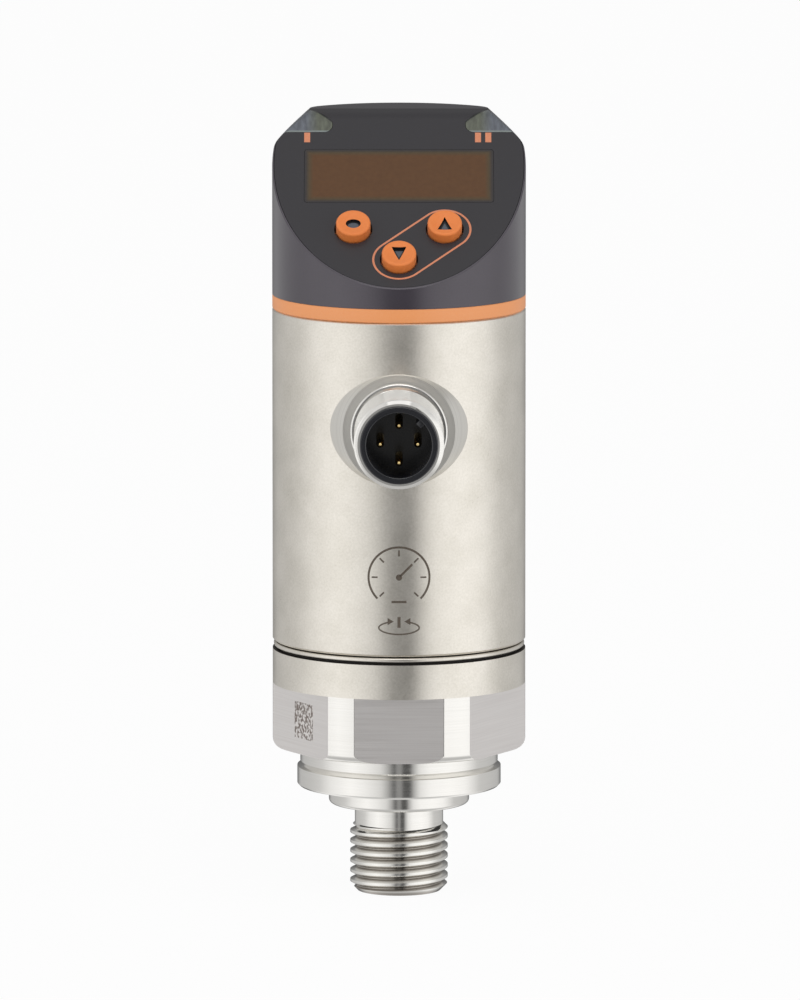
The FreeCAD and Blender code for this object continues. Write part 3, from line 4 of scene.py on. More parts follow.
import bpy
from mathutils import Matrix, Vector


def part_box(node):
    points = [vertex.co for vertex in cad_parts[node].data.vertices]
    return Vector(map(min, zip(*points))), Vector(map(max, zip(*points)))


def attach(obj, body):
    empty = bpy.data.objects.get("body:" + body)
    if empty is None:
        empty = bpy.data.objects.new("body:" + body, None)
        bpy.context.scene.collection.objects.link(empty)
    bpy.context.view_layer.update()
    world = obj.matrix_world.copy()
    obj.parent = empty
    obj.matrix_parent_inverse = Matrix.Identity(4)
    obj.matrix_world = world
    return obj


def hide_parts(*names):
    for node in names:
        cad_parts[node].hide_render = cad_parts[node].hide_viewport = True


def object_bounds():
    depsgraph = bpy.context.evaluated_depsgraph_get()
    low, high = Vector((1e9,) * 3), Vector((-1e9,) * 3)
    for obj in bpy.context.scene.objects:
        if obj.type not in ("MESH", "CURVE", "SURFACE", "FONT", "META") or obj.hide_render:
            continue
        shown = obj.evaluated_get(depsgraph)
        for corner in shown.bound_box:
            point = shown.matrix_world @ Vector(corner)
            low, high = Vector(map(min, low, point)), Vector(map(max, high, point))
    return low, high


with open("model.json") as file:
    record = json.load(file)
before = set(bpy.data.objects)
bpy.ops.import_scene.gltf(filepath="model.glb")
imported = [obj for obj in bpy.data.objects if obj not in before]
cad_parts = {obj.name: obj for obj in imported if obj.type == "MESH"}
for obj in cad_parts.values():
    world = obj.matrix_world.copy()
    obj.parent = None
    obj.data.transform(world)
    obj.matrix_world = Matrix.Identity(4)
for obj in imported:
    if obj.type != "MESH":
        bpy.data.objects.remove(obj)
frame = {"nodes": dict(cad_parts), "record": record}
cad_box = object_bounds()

# ---------------------------------------------------------------- studio
# A white cylindrical tent stands round the object, brightest left and right of the lens; its front
# falls off to a dark gap with a dim strip in its middle.  Two softboxes hang above, and the floor is
# a pale sheet that is clear from below.  Polished steel shows all of it.
MM = 0.001
FOOT = cad_box[0][2]
MIDDLE = Vector((0, 0, 0.04))


def add_node(tree, kind, inputs=None, **settings):
    """Adds a shader node, sets its properties, and gives each input a value or a link."""
    node = tree.nodes.new("ShaderNode" + kind)
    for name, setting in settings.items():
        setattr(node, name, setting)
    for name, given in (inputs or {}).items():
        if isinstance(given, bpy.types.NodeSocket):
            tree.links.new(given, node.inputs[name])
        else:
            node.inputs[name].default_value = given
    return node


def linear(hex_colour):
    """An sRGB hex colour as linear red, green, blue and alpha."""
    parts = [int(hex_colour[i:i + 2], 16) / 255 for i in (1, 3, 5)]
    return [c / 12.92 if c <= 0.04045 else ((c + 0.055) / 1.055) ** 2.4 for c in parts] + [1.0]


scene = bpy.context.scene
scene.view_settings.view_transform = "Standard"

camera_data = bpy.data.cameras.new("camera")
camera = bpy.data.objects.new("camera", camera_data)
scene.collection.objects.link(camera)
camera.location = (0.0, -1.930, 0.3189)
camera.rotation_euler = (Vector((0, 0, 0.0411)) - camera.location).to_track_quat("-Z", "Y").to_euler()
camera_data.lens = 522.3
camera_data.shift_x = 0.001
camera_data.clip_start = 0.05
scene.camera = camera


def softbox(name, azimuth, elevation, distance, wide, tall, radiance):
    """A flat lamp that faces the middle of the object; azimuth runs from -Y towards +X."""
    data = bpy.data.lights.new(name, "AREA")
    data.shape = "RECTANGLE"
    data.size = wide
    data.size_y = tall
    data.energy = math.pi * wide * tall * radiance
    lamp = bpy.data.objects.new(name, data)
    scene.collection.objects.link(lamp)
    turn, lift = math.radians(azimuth), math.radians(elevation)
    towards = Vector((math.sin(turn) * math.cos(lift), -math.cos(turn) * math.cos(lift), math.sin(lift)))
    lamp.location = MIDDLE + towards * distance
    lamp.rotation_euler = towards.to_track_quat("Z", "Y").to_euler()
    lamp.visible_camera = False


softbox("softbox_top", 0, 80, 1.6, 1.0, 1.0, 0.5)
softbox("softbox_high", 0, 46, 1.4, 0.9, 0.5, 2.0)

world = bpy.data.worlds.new("studio")
scene.world = world
world.use_nodes = True
tree = world.node_tree
tree.nodes.clear()
way = add_node(tree, "TexCoord")
parts = add_node(tree, "SeparateXYZ", {0: way.outputs["Generated"]})
forward = add_node(tree, "Math", {0: parts.outputs["Y"], 1: -1.0}, operation="MULTIPLY")
azimuth = add_node(tree, "Math", {0: parts.outputs["X"], 1: forward.outputs[0]},
                   operation="ARCTAN2")
turn_share = add_node(tree, "MapRange", {0: azimuth.outputs[0], 1: -math.pi, 2: math.pi})


def band(stops):
    """A level round the horizon, from pairs of azimuth and level."""
    ramp_node = add_node(tree, "ValToRGB", {0: turn_share.outputs[0]})
    ramp = ramp_node.color_ramp
    while len(ramp.elements) < len(stops):
        ramp.elements.new(0.5)
    for element, (angle, level) in zip(ramp.elements, stops):
        element.position = (angle + 180) / 360
        element.color = (level, level, level, 1.0)
    return ramp_node.outputs[0]


walls = band([(-180, 0.10), (-166, 0.18), (-150, 0.46), (-117, 0.54), (-102, 0.60), (-84, 0.82),
              (-57, 0.98), (-39, 0.87), (-21, 0.69), (-12.4, 0.40), (-6.3, 0.12), (-4.2, 0.09),
              (-3.2, 0.28), (3.2, 0.28), (4.5, 0.08), (13, 0.08), (15.5, 0.34), (23.8, 0.78), (36, 0.95),
              (60, 1.0), (81, 0.93), (93, 0.75), (105, 0.56), (117, 0.54), (150, 0.46), (166, 0.18),
              (180, 0.10)])
WALL_GAIN = 1.11
walls = add_node(tree, "Math", {0: walls, 1: WALL_GAIN}, operation="MULTIPLY").outputs[0]
sky = band([(-180, 0.45), (-135, 0.45), (-100, 0.7), (-60, 0.8), (-20, 0.5), (0, 0.4), (20, 0.5),
            (60, 0.8), (95, 0.6), (112, 0.2), (150, 0.3), (180, 0.45)])
upward = add_node(tree, "MapRange", {0: parts.outputs["Z"], 1: 0.32, 2: 0.6})
with_sky = add_node(tree, "Mix", {0: upward.outputs[0], 6: walls, 7: sky}, data_type="RGBA")
overhead = add_node(tree, "MapRange", {0: parts.outputs["Z"], 1: 0.9, 2: 0.985})
with_top = add_node(tree, "Mix", {0: overhead.outputs[0], 6: with_sky.outputs[2],
                                  7: (0.5, 0.5, 0.51, 1.0)}, data_type="RGBA")
ground = add_node(tree, "MapRange", {0: parts.outputs["Y"], 1: 0.15, 2: 0.5, 3: 0.55, 4: 0.95})
downward = add_node(tree, "MapRange", {0: parts.outputs["Z"], 1: -0.45, 2: -0.75})
with_ground = add_node(tree, "Mix", {0: downward.outputs[0], 6: with_top.outputs[2],
                                     7: ground.outputs[0]}, data_type="RGBA")
ray = add_node(tree, "LightPath")
seen = add_node(tree, "Math", {0: ray.outputs["Is Camera Ray"],
                               1: ray.outputs["Is Transmission Ray"]}, operation="MAXIMUM")
shown = add_node(tree, "Mix", {0: seen.outputs[0], 6: with_ground.outputs[2],
                               7: (1.0, 1.0, 1.0, 1.0)}, data_type="RGBA")
light = add_node(tree, "Background", {"Color": shown.outputs[2], "Strength": 1.0})
add_node(tree, "OutputWorld", {"Surface": light.outputs[0]})

bpy.ops.object.select_all(action="DESELECT")
bpy.ops.mesh.primitive_plane_add(size=8.0, location=(0, 0, FOOT))
floor = bpy.context.object
floor.name = "floor"
bpy.ops.object.transform_apply()
floor.visible_glossy = False
floor.visible_shadow = False
floor.visible_diffuse = False
sheet = bpy.data.materials.new("floor paper")
sheet.use_nodes = True
tree = sheet.node_tree
tree.nodes.clear()
grain = add_node(tree, "TexNoise", {"Scale": 900.0, "Detail": 2.0})
tone = add_node(tree, "Mix", {0: grain.outputs[0], 6: (0.97, 0.97, 0.97, 1), 7: (1, 1, 1, 1)},
                data_type="RGBA")
paper = add_node(tree, "BsdfDiffuse", {"Color": tone.outputs[2]})
white = add_node(tree, "Emission", {"Color": (1.0, 1.0, 1.0, 1.0), "Strength": 1.0})
both = add_node(tree, "MixShader", {0: 0.94, 1: paper.outputs[0], 2: white.outputs[0]})
below = add_node(tree, "NewGeometry")
clear = add_node(tree, "BsdfTransparent")
one_sided = add_node(tree, "MixShader", {0: below.outputs["Backfacing"], 1: both.outputs[0],
                                         2: clear.outputs[0]})
add_node(tree, "OutputMaterial", {"Surface": one_sided.outputs[0]})
floor.data.materials.append(sheet)

# ---------------------------------------------------------------- process connection
# Turned from one bar of stainless steel: blasted band, milled wrench flats, polished collars and
# neck, and the G 1/4 A thread of 19 turns to the inch, cut with a single point tool.
def millimetres(node):
    """The lowest and highest corner of a CAD node, in millimetres."""
    low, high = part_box(node)
    return low / MM, high / MM


def deselected():
    """Leaves edit mode and drops every selection."""
    if bpy.context.mode != "OBJECT":
        bpy.ops.object.mode_set(mode="OBJECT")
    bpy.ops.object.select_all(action="DESELECT")


def chosen(piece):
    """Selects one object alone and makes it the active one."""
    deselected()
    piece.select_set(True)
    bpy.context.view_layer.objects.active = piece


def drawn_line(name, corners):
    """A line of edges through (radius, height) corners in millimetres, drawn by extruding a point."""
    deselected()
    bpy.ops.mesh.primitive_plane_add(size=MM)
    piece = bpy.context.object
    piece.name = name
    bpy.ops.object.mode_set(mode="EDIT")
    bpy.ops.mesh.select_mode(type="VERT")
    bpy.ops.mesh.select_all(action="SELECT")
    bpy.ops.mesh.merge(type="CENTER")
    bpy.ops.transform.translate(value=(corners[0][0] * MM, 0, corners[0][1] * MM))
    for (r0, z0), (r1, z1) in zip(corners, corners[1:]):
        bpy.ops.mesh.extrude_vertices_move(
            TRANSFORM_OT_translate={"value": ((r1 - r0) * MM, 0, (z1 - z0) * MM)})
    bpy.ops.object.mode_set(mode="OBJECT")
    return piece


def tidied():
    """Merges doubles and turns the faces outwards, in edit mode, and leaves it."""
    bpy.ops.mesh.select_all(action="SELECT")
    bpy.ops.mesh.remove_doubles(threshold=2e-6)
    bpy.ops.mesh.normals_make_consistent(inside=False)
    bpy.ops.object.mode_set(mode="OBJECT")


def turned(name, corners, steps=256):
    """A solid turned about Z from its half outline."""
    on_axis = corners[0][0] == 0 and corners[-1][0] == 0
    piece = drawn_line(name, corners if on_axis else corners + corners[:1])
    bpy.ops.object.mode_set(mode="EDIT")
    bpy.ops.mesh.select_all(action="SELECT")
    bpy.ops.mesh.spin(steps=steps, angle=2 * math.pi, center=(0, 0, 0), axis=(0, 0, 1))
    tidied()
    return piece


def arc(radius, height, size, start, stop, steps=6):
    """Corners of a rounding about (radius, height), from one angle to another in degrees."""
    angles = [math.radians(start + (stop - start) * step / steps) for step in range(steps + 1)]
    return [(radius + size * math.cos(a), height + size * math.sin(a)) for a in angles]


def machined(piece, tool, operation="DIFFERENCE"):
    """Cuts, joins or intersects a piece with a tool, which is used up."""
    chosen(piece)
    step = piece.modifiers.new("step", "BOOLEAN")
    step.operation = operation
    step.solver = "EXACT"
    step.object = tool
    bpy.ops.object.modifier_apply(modifier=step.name)
    bpy.data.objects.remove(tool)


def block(wide, deep, tall, place=(0, 0, 0), turn=0):
    """A squared block for cutting with, turned about Z and then moved."""
    deselected()
    bpy.ops.mesh.primitive_cube_add(size=1.0)
    piece = bpy.context.object
    piece.scale = (wide * MM, deep * MM, tall * MM)
    piece.rotation_euler = (0, 0, math.radians(turn))
    piece.location = Vector(place) * MM
    bpy.ops.object.transform_apply()
    return piece


def threaded_rod(name, major, minor, pitch, flank, crest_share, low, high, steps=96):
    """A screw thread on a solid rod, its flanks at an angle to the radius, cut off level."""
    run = (major - minor) * math.tan(math.radians(flank))
    crest = (pitch - 2 * run) * crest_share
    root = pitch - 2 * run - crest
    soft = 0.35 * min(crest, root)
    dip = soft * math.tan(math.radians(90 - flank)) * 0.32
    corners = [
        (minor, 0), (minor, root / 2 - soft), (minor + dip * 0.5, root / 2),
        (minor + dip * 2, root / 2 + soft * 0.7),
        (major - dip * 2, root / 2 + run - soft * 0.7), (major - dip * 0.5, root / 2 + run),
        (major, root / 2 + run + soft), (major, root / 2 + run + crest - soft),
        (major - dip * 0.5, root / 2 + run + crest), (major - dip * 2, root / 2 + run + crest + soft * 0.7),
        (minor + dip * 2, pitch - root / 2 - soft * 0.7), (minor + dip * 0.5, pitch - root / 2),
        (minor, pitch - root / 2 + soft), (minor, pitch),
    ]
    turns = math.ceil((high - low) / pitch) + 2
    piece = drawn_line(name, [(r, z + low - pitch) for r, z in corners])
    helix = piece.modifiers.new("helix", "SCREW")
    helix.axis = "Z"
    helix.angle = 2 * math.pi
    helix.screw_offset = pitch * MM
    helix.iterations = turns
    helix.steps = steps
    helix.render_steps = steps
    helix.use_merge_vertices = True
    helix.merge_threshold = 2e-6
    bpy.ops.object.modifier_apply(modifier=helix.name)
    bpy.ops.object.mode_set(mode="EDIT")
    for level, above in ((low, False), (high, True)):
        bpy.ops.mesh.select_all(action="SELECT")
        bpy.ops.mesh.bisect(plane_co=(0, 0, level * MM), plane_no=(0, 0, 1), use_fill=True,
                            clear_outer=above, clear_inner=not above, threshold=1e-7)
    tidied()
    return piece


def smoothed(piece, angle):
    """Shades a piece smooth, but for edges sharper than an angle in degrees."""
    chosen(piece)
    bpy.ops.object.shade_smooth_by_angle(angle=math.radians(angle))
    return piece


def broken_edges(piece, width, angle=28, segments=2, smooth=26):
    """Breaks the sharp edges by a small rounding, and shades the rest smooth."""
    chosen(piece)
    step = piece.modifiers.new("edges", "BEVEL")
    step.width = width * MM
    step.segments = segments
    step.limit_method = "ANGLE"
    step.angle_limit = math.radians(angle)
    bpy.ops.object.modifier_apply(modifier=step.name)
    smoothed(piece, smooth)


def sealed(piece):
    """Closes the pin holes that a cut can leave where a thread runs out."""
    chosen(piece)
    bpy.ops.object.mode_set(mode="EDIT")
    bpy.ops.mesh.select_mode(type="VERT")
    bpy.ops.mesh.select_all(action="SELECT")
    bpy.ops.mesh.remove_doubles(threshold=3e-7)
    bpy.ops.mesh.select_all(action="SELECT")
    bpy.ops.mesh.fill_holes(sides=0)
    bpy.ops.mesh.delete_loose()
    bpy.ops.object.mode_set(mode="OBJECT")
    return piece


def evened(piece):
    """Keeps flat faces flat in their shading, beside edges that are broken."""
    chosen(piece)
    step = piece.modifiers.new("even", "WEIGHTED_NORMAL")
    step.keep_sharp = True
    bpy.ops.object.modifier_apply(modifier=step.name)


def coated(piece, material, wanted=None):
    """Gives a material to a piece, or to its faces whose centre in mm and normal pass a test."""
    piece.data.materials.append(material)
    if wanted:
        index = len(piece.data.materials) - 1
        for face in piece.data.polygons:
            if wanted(face.center / MM, face.normal):
                face.material_index = index


def started(name):
    """An empty material: its tree, and the place of each point on the piece."""
    material = bpy.data.materials.new(name)
    material.use_nodes = True
    material.node_tree.nodes.clear()
    return material, material.node_tree, add_node(material.node_tree, "TexCoord").outputs["Object"]


def per(size):
    """The scale of a pattern whose marks are this many millimetres across."""
    return 1 / (size * MM)


def surfaced(tree, pattern, colours, looks, relief=None):
    """Ends a material: a pattern sets its tone between two colours, and with a relief, given as
    strength, depth in millimetres and height, its shading is uneven."""
    tone = add_node(tree, "Mix", {0: pattern, 6: linear(colours[0]), 7: linear(colours[1])},
                    data_type="RGBA")
    inputs = {"Base Color": tone.outputs[2], **looks}
    if relief:
        strength, depth, height = relief
        dents = add_node(tree, "Bump", {"Strength": strength, "Distance": depth * MM,
                                        "Height": height})
        inputs["Normal"] = dents.outputs[0]
    surface = add_node(tree, "BsdfPrincipled", inputs)
    add_node(tree, "OutputMaterial", {"Surface": surface.outputs[0]})


def grained(name, size, detail, colours, looks, relief=None):
    """A whole material, its tone and any relief in grains of so many millimetres."""
    material, tree, place = started(name)
    grain = add_node(tree, "TexNoise", {"Vector": place, "Scale": per(size), "Detail": detail})
    surfaced(tree, grain.outputs[0], colours, looks, relief and (*relief, grain.outputs[0]))
    return material


# Stainless steel 1.4404, blasted with fine glass beads: a satin metal with a faintly mottled,
# warm grey.  The bead marks are about 0.05 mm and are drawn 0.28 mm wide, so that they show.
blasted_steel, tree, place = started("stainless_steel_bead_blasted")
clouds = add_node(tree, "TexNoise", {"Vector": place, "Scale": per(5.0), "Detail": 4.0})
beads = add_node(tree, "TexNoise", {
    "Vector": place, "Scale": per(0.28), "Detail": 3.0, "Roughness": 0.6})
drift = add_node(tree, "Math", {0: beads.outputs[0], 1: clouds.outputs[0]}, operation="ADD")
spread = add_node(tree, "MapRange", {0: drift.outputs[0], 1: 0.6, 2: 1.4})
satin = add_node(tree, "MapRange", {0: drift.outputs[0], 1: 0.4, 2: 1.6, 3: 0.25, 4: 0.37})
surfaced(tree, spread.outputs[0], ("#dad5ca", "#f3eee5"),
         {"Metallic": 1.0, "Roughness": satin.outputs[0]}, (0.35, 0.012, beads.outputs[0]))

# The same steel, turned and polished: bright, with the faint rings that the lathe leaves.  Their
# real spacing is about 0.03 mm and they are drawn 0.1 mm apart.
polished_steel, tree, place = started("stainless_steel_turned_polished")
level = add_node(tree, "Mapping", {"Vector": place, "Scale": (per(9.0), per(9.0), per(0.1))})
rings = add_node(tree, "TexNoise", {"Vector": level.outputs[0], "Scale": 1.0, "Detail": 2.0})
gloss = add_node(tree, "MapRange", {0: rings.outputs[0], 1: 0.3, 2: 0.7, 3: 0.10, 4: 0.17})
surfaced(tree, rings.outputs[0], ("#e8e6e1", "#f6f4f0"),
         {"Metallic": 1.0, "Roughness": gloss.outputs[0]}, (0.1, 0.004, rings.outputs[0]))

# The same steel under an end mill: a dull sheen of fine level strokes.  They are about 0.05 mm
# apart and are drawn 0.12 mm apart.
milled_steel, tree, place = started("stainless_steel_milled")
stroke = add_node(tree, "Mapping", {"Vector": place, "Scale": (per(14.0), per(14.0), per(0.12))})
lines = add_node(tree, "TexNoise", {
    "Vector": stroke.outputs[0], "Scale": 1.0, "Detail": 3.0, "Roughness": 0.5})
satin = add_node(tree, "MapRange", {0: lines.outputs[0], 1: 0.2, 2: 0.8, 3: 0.36, 4: 0.46})
surfaced(tree, lines.outputs[0], ("#e6e1de", "#f8f5f3"),
         {"Metallic": 1.0, "Roughness": satin.outputs[0]}, (0.25, 0.004, lines.outputs[0]))

# The same steel in the cut thread, bright on the crests, with painted shade down in the grooves.  The
# tool's marks are about 0.05 mm apart and are drawn 0.1 mm apart.
thread_steel, tree, place = started("stainless_steel_thread_cut")
level = add_node(tree, "Mapping", {"Vector": place, "Scale": (per(6.0), per(6.0), per(0.1))})
marks = add_node(tree, "TexNoise", {"Vector": level.outputs[0], "Scale": 1.0, "Detail": 2.0})
centred = add_node(tree, "Mapping", {"Vector": place, "Scale": (1, 1, 0)})
radius = add_node(tree, "VectorMath", {0: centred.outputs[0]}, operation="LENGTH")
# Painted shade: darker grey towards the roots of the thread.
groove_shade_share = add_node(tree, "MapRange", {0: radius.outputs["Value"], 1: 6.25 * MM, 2: 5.9 * MM})
bright = add_node(tree, "Mix", {0: marks.outputs[0], 6: linear("#e8e6e1"), 7: linear("#f6f4f0")},
                  data_type="RGBA")
tone = add_node(tree, "Mix", {0: groove_shade_share.outputs[0], 6: bright.outputs[2], 7: linear("#aaa59e")},
                data_type="RGBA")
gloss = add_node(tree, "MapRange", {0: marks.outputs[0], 1: 0.3, 2: 0.7, 3: 0.12, 4: 0.2})
surface = add_node(tree, "BsdfPrincipled", {
    "Base Color": tone.outputs[2], "Metallic": 1.0, "Roughness": gloss.outputs[0]})
add_node(tree, "OutputMaterial", {"Surface": surface.outputs[0]})

stem_low = millimetres("process_connection")[0]
BODY_RADIUS = -stem_low.x
THREAD_END = stem_low.z
SPIGOT_TOP = millimetres("process_connection")[1].z
THREAD_RADIUS = 6.5785
THREAD_PITCH = 25.4 / 19
NECK_RADIUS = 5.95
COLLAR_RADIUS = 9.45
SHOULDER_RADIUS = 13.7
SHOULDER_UPPER_RADIUS = 13.3
HEX_BOTTOM, HEX_TOP, BAND_TOP = 7.7, 16.55, 21.2
FRONT_FLAT, SIDE_FLAT = 15.92, 15.27
SPIGOT_RADIUS = 14.5
NECK_FILLET, COLLAR_ROUND, COLLAR_TOP, BAND_ROUND = 0.45, 0.6, 2.5, 1.2
SEAL_GROOVE = [(6.6, 0), (6.6, 1.5), (8.6, 1.5), (8.6, 0)]
SHOULDER_GROOVE = [(SHOULDER_RADIUS, 5.15), (12.8, 5.5), (SHOULDER_UPPER_RADIUS, 5.85)]
SPIGOT_GROOVES = ((24.0, 26.0, 13.1), (28.1, 29.2, 13.5))
CELL_SEAT = [(10.25, 13.7), (9.6, 13.7), (9.6, 10.0), (9.0, 10.0), (9.0, 9.6), (8.2, 9.6), (8.2, 8.5),
             (6.2, 8.5), (6.2, 9.6), (0, 9.6)]

process_connection = turned("process_connection_turned", [
    (0, -3.0), (NECK_RADIUS, -3.0), *arc(NECK_RADIUS + NECK_FILLET, -NECK_FILLET, NECK_FILLET, 180, 90),
    *SEAL_GROOVE, *arc(COLLAR_RADIUS - COLLAR_ROUND, COLLAR_ROUND, COLLAR_ROUND, -90, 0),
    (COLLAR_RADIUS, COLLAR_TOP), (SHOULDER_RADIUS - 0.3, COLLAR_TOP), (SHOULDER_RADIUS, COLLAR_TOP + 0.3),
    *SHOULDER_GROOVE, (SHOULDER_UPPER_RADIUS, HEX_BOTTOM),
    *arc(BODY_RADIUS - BAND_ROUND, HEX_BOTTOM + BAND_ROUND, BAND_ROUND, -90, 0), (BODY_RADIUS, HEX_TOP),
    (BODY_RADIUS, BAND_TOP), (SPIGOT_RADIUS, BAND_TOP),
    *(corner for low, high, radius in SPIGOT_GROOVES for corner in (
        (SPIGOT_RADIUS, low), (radius, low), (radius, high), (SPIGOT_RADIUS, high))),
    (SPIGOT_RADIUS, SPIGOT_TOP - 0.3), (SPIGOT_RADIUS - 0.3, SPIGOT_TOP), (CELL_SEAT[0][0], SPIGOT_TOP),
    *CELL_SEAT,
])
CUTTER_WIDE, CUTTER_DEEP, FLAT_TALL = 34, 8, 9.85
for turn in range(0, 360, 60):
    reach = (FRONT_FLAT if turn in (0, 180) else SIDE_FLAT) + CUTTER_DEEP / 2
    way = math.radians(turn)
    machined(process_connection, block(CUTTER_WIDE, CUTTER_DEEP, FLAT_TALL, (
        math.sin(way) * reach, -math.cos(way) * reach, HEX_TOP - FLAT_TALL / 2), turn))
broken_edges(process_connection, 0.09)

THREAD_DEPTH, WHITWORTH_FLANK, CREST_SHARE, STEM_TOP = 0.82, 27.5, 0.76, -1.5
RELIEF_RADIUS, RELIEF_LOW, RELIEF_HIGH = 5.9, -3.3, -2.62
stem = threaded_rod("stem_thread", THREAD_RADIUS, THREAD_RADIUS - THREAD_DEPTH, THREAD_PITCH,
                    WHITWORTH_FLANK, CREST_SHARE, THREAD_END, STEM_TOP)
machined(stem, turned("stem_blank", [
    (0, THREAD_END), (THREAD_RADIUS - 1, THREAD_END), (THREAD_RADIUS, THREAD_END + 1),
    (THREAD_RADIUS, RELIEF_LOW), (RELIEF_RADIUS, RELIEF_HIGH), (RELIEF_RADIUS, STEM_TOP),
    (0, STEM_TOP)], 192), "INTERSECT")
machined(process_connection, stem, "UNION")
PORT_RADIUS, PORT_START, PORT_END, DRILL_RADIUS, DRILL_END = 2.6, -12.4, -5.9, 1.5, 10.2
machined(process_connection, turned("port_drill", [
    (0, PORT_START), (PORT_RADIUS, PORT_START), (PORT_RADIUS, PORT_END), (DRILL_RADIUS, PORT_END),
    (DRILL_RADIUS, DRILL_END), (0, DRILL_END)], 96))
smoothed(sealed(process_connection), 26)
evened(process_connection)


def on_flat(centre, normal):
    """True for a face that lies in one of the six wrench flats."""
    for turn in range(0, 360, 60):
        outward = Vector((math.sin(math.radians(turn)), -math.cos(math.radians(turn)), 0))
        reach = FRONT_FLAT if turn in (0, 180) else SIDE_FLAT
        if outward.dot(normal) > 0.9999 and outward.dot(centre) < reach + 0.02:
            return abs(normal.z) < 0.02 and HEX_BOTTOM < centre.z < HEX_TOP
    return False


coated(process_connection, polished_steel)
coated(process_connection, milled_steel, on_flat)
coated(process_connection, thread_steel,
       lambda centre, normal: centre.z < -3.4 and centre.xy.length > NECK_RADIUS - 0.3)
coated(process_connection, blasted_steel,
       lambda centre, normal: HEX_TOP < centre.z < BAND_TOP and centre.xy.length > SPIGOT_RADIUS + 1.5
       and abs(normal.z) < 0.9)
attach(process_connection, "process_side")
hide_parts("process_connection")

# ---------------------------------------------------------------- etched field on a wrench flat
# A matt speckled square on the left flat, where a marking laser has roughened the milled steel.
# Its spots are random, about 0.4 mm across, and spell nothing.
etched_steel, tree, place = started("stainless_steel_laser_etched")
speckle = add_node(tree, "TexNoise", {"Vector": place, "Scale": per(0.42), "Detail": 1.0})
harder = add_node(tree, "MapRange", {0: speckle.outputs[0], 1: 0.42, 2: 0.60})
surfaced(tree, harder.outputs[0], ("#857a74", "#e9e5e2"),
         {"Metallic": 0.25, "Roughness": 0.65}, (0.4, 0.01, speckle.outputs[0]))

ETCHED_SIZE, ETCHED_DEPTH = 4.9, 0.012
way = math.radians(-60)
outward = Vector((math.sin(way), -math.cos(way), 0))
along = Vector((math.cos(way), math.sin(way), 0))
etched_field = block(ETCHED_SIZE, 2 * ETCHED_DEPTH, ETCHED_SIZE,
                     outward * SIDE_FLAT + along * 0.9 + Vector((0, 0, 12.35)), -60)
etched_field.name = "etched_field"
broken_edges(etched_field, 0.01, 30, 1, 20)
coated(etched_field, etched_steel)
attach(etched_field, "process_side")

# ---------------------------------------------------------------- slip ring
# Thin turned steel ring between the band and the sleeve; only its rounded lip stands out, and a
# dark gap shows above and below it.
slip_low, slip_high = millimetres("slip_ring")
LIP_RADIUS = slip_high.x
LIP_LOW, LIP_HIGH, LIP_ROUND = BAND_TOP + 0.32, BAND_TOP + 0.98, 0.28
SLIP_BORE, SLIP_WEB = SPIGOT_RADIUS + 0.05, 16.2
slip_ring = turned("slip_ring_turned", [
    (SLIP_BORE, slip_low.z), (SLIP_WEB, slip_low.z), (SLIP_WEB, LIP_LOW),
    *arc(LIP_RADIUS - LIP_ROUND, LIP_LOW + LIP_ROUND, LIP_ROUND, -90, 0),
    *arc(LIP_RADIUS - LIP_ROUND, LIP_HIGH - LIP_ROUND, LIP_ROUND, 0, 90),
    (SLIP_WEB, LIP_HIGH), (SLIP_WEB, slip_high.z), (SLIP_BORE, slip_high.z)])
smoothed(slip_ring, 30)
coated(slip_ring, blasted_steel)

# Painted shade: the faces down in the two gaps are a dull brownish black, for the shade that falls in them.
gap_shade_paint = grained("gap_painted_shade", 0.3, 3.0, ("#1d1815", "#2d2621"), {"Roughness": 0.6})
coated(slip_ring, gap_shade_paint, lambda centre, normal: centre.xy.length < LIP_RADIUS - 0.35)
# Painted shade also on the top of the band, down in the gap under the slip ring.
coated(process_connection, gap_shade_paint, lambda centre, normal: abs(centre.z - BAND_TOP) < 0.02
       and centre.xy.length < BODY_RADIUS - 0.2)
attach(slip_ring, "process_side")
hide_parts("slip_ring")

# ---------------------------------------------------------------- inside the process connection
# Sealing rings, restrictor screw, measuring cell with its clamp ring and board, spring ring and
# stop pin.  They are the CAD solids, each in the finish of its real kind.


def finished(material, *nodes):
    """Gives a material to CAD nodes."""
    for name in nodes:
        for place_for_it in frame["nodes"][name].material_slots:
            place_for_it.material = material


# Moulded fluoro rubber: black and dull, with a faint bloom.
seal_rubber = grained("fluoro_rubber_moulded", 1.2, 3.0, ("#161616", "#2a2a29"), {"Roughness": 0.55})
finished(seal_rubber, "port_seal", "cell_seal", "rotation_seal", "connector_seal", "head_seal")

# Zinc-plated screws and pressed rings: a bluish bright plating, with a slight cloud.
plated_steel, tree, place = started("steel_zinc_plated")
cloud = add_node(tree, "TexNoise", {"Vector": place, "Scale": per(0.9), "Detail": 4.0})
gloss = add_node(tree, "MapRange", {0: cloud.outputs[0], 3: 0.22, 4: 0.36})
surfaced(tree, cloud.outputs[0], ("#b9bcc0", "#d3d4d4"), {"Metallic": 1.0, "Roughness": gloss.outputs[0]})
finished(plated_steel, "restrictor_screw", "cell_clamp_ring", "stop_pin", "connector_retainer",
         "carrier_screws", "board_screws")

# Oiled spring steel, dark from its heat treatment.
spring_steel = grained("spring_steel_oiled", 2.0, 3.0, ("#5b5c60", "#77756f"),
                       {"Metallic": 1.0, "Roughness": 0.3})
finished(spring_steel, "retaining_ring")

# Alumina, sintered and ground: off-white, with a fine ground grain.
ground_ceramic = grained("alumina_ground", 0.2, 2.0, ("#ece9e0", "#f6f4ee"), {"Roughness": 0.42})
finished(ground_ceramic, "measuring_cell")

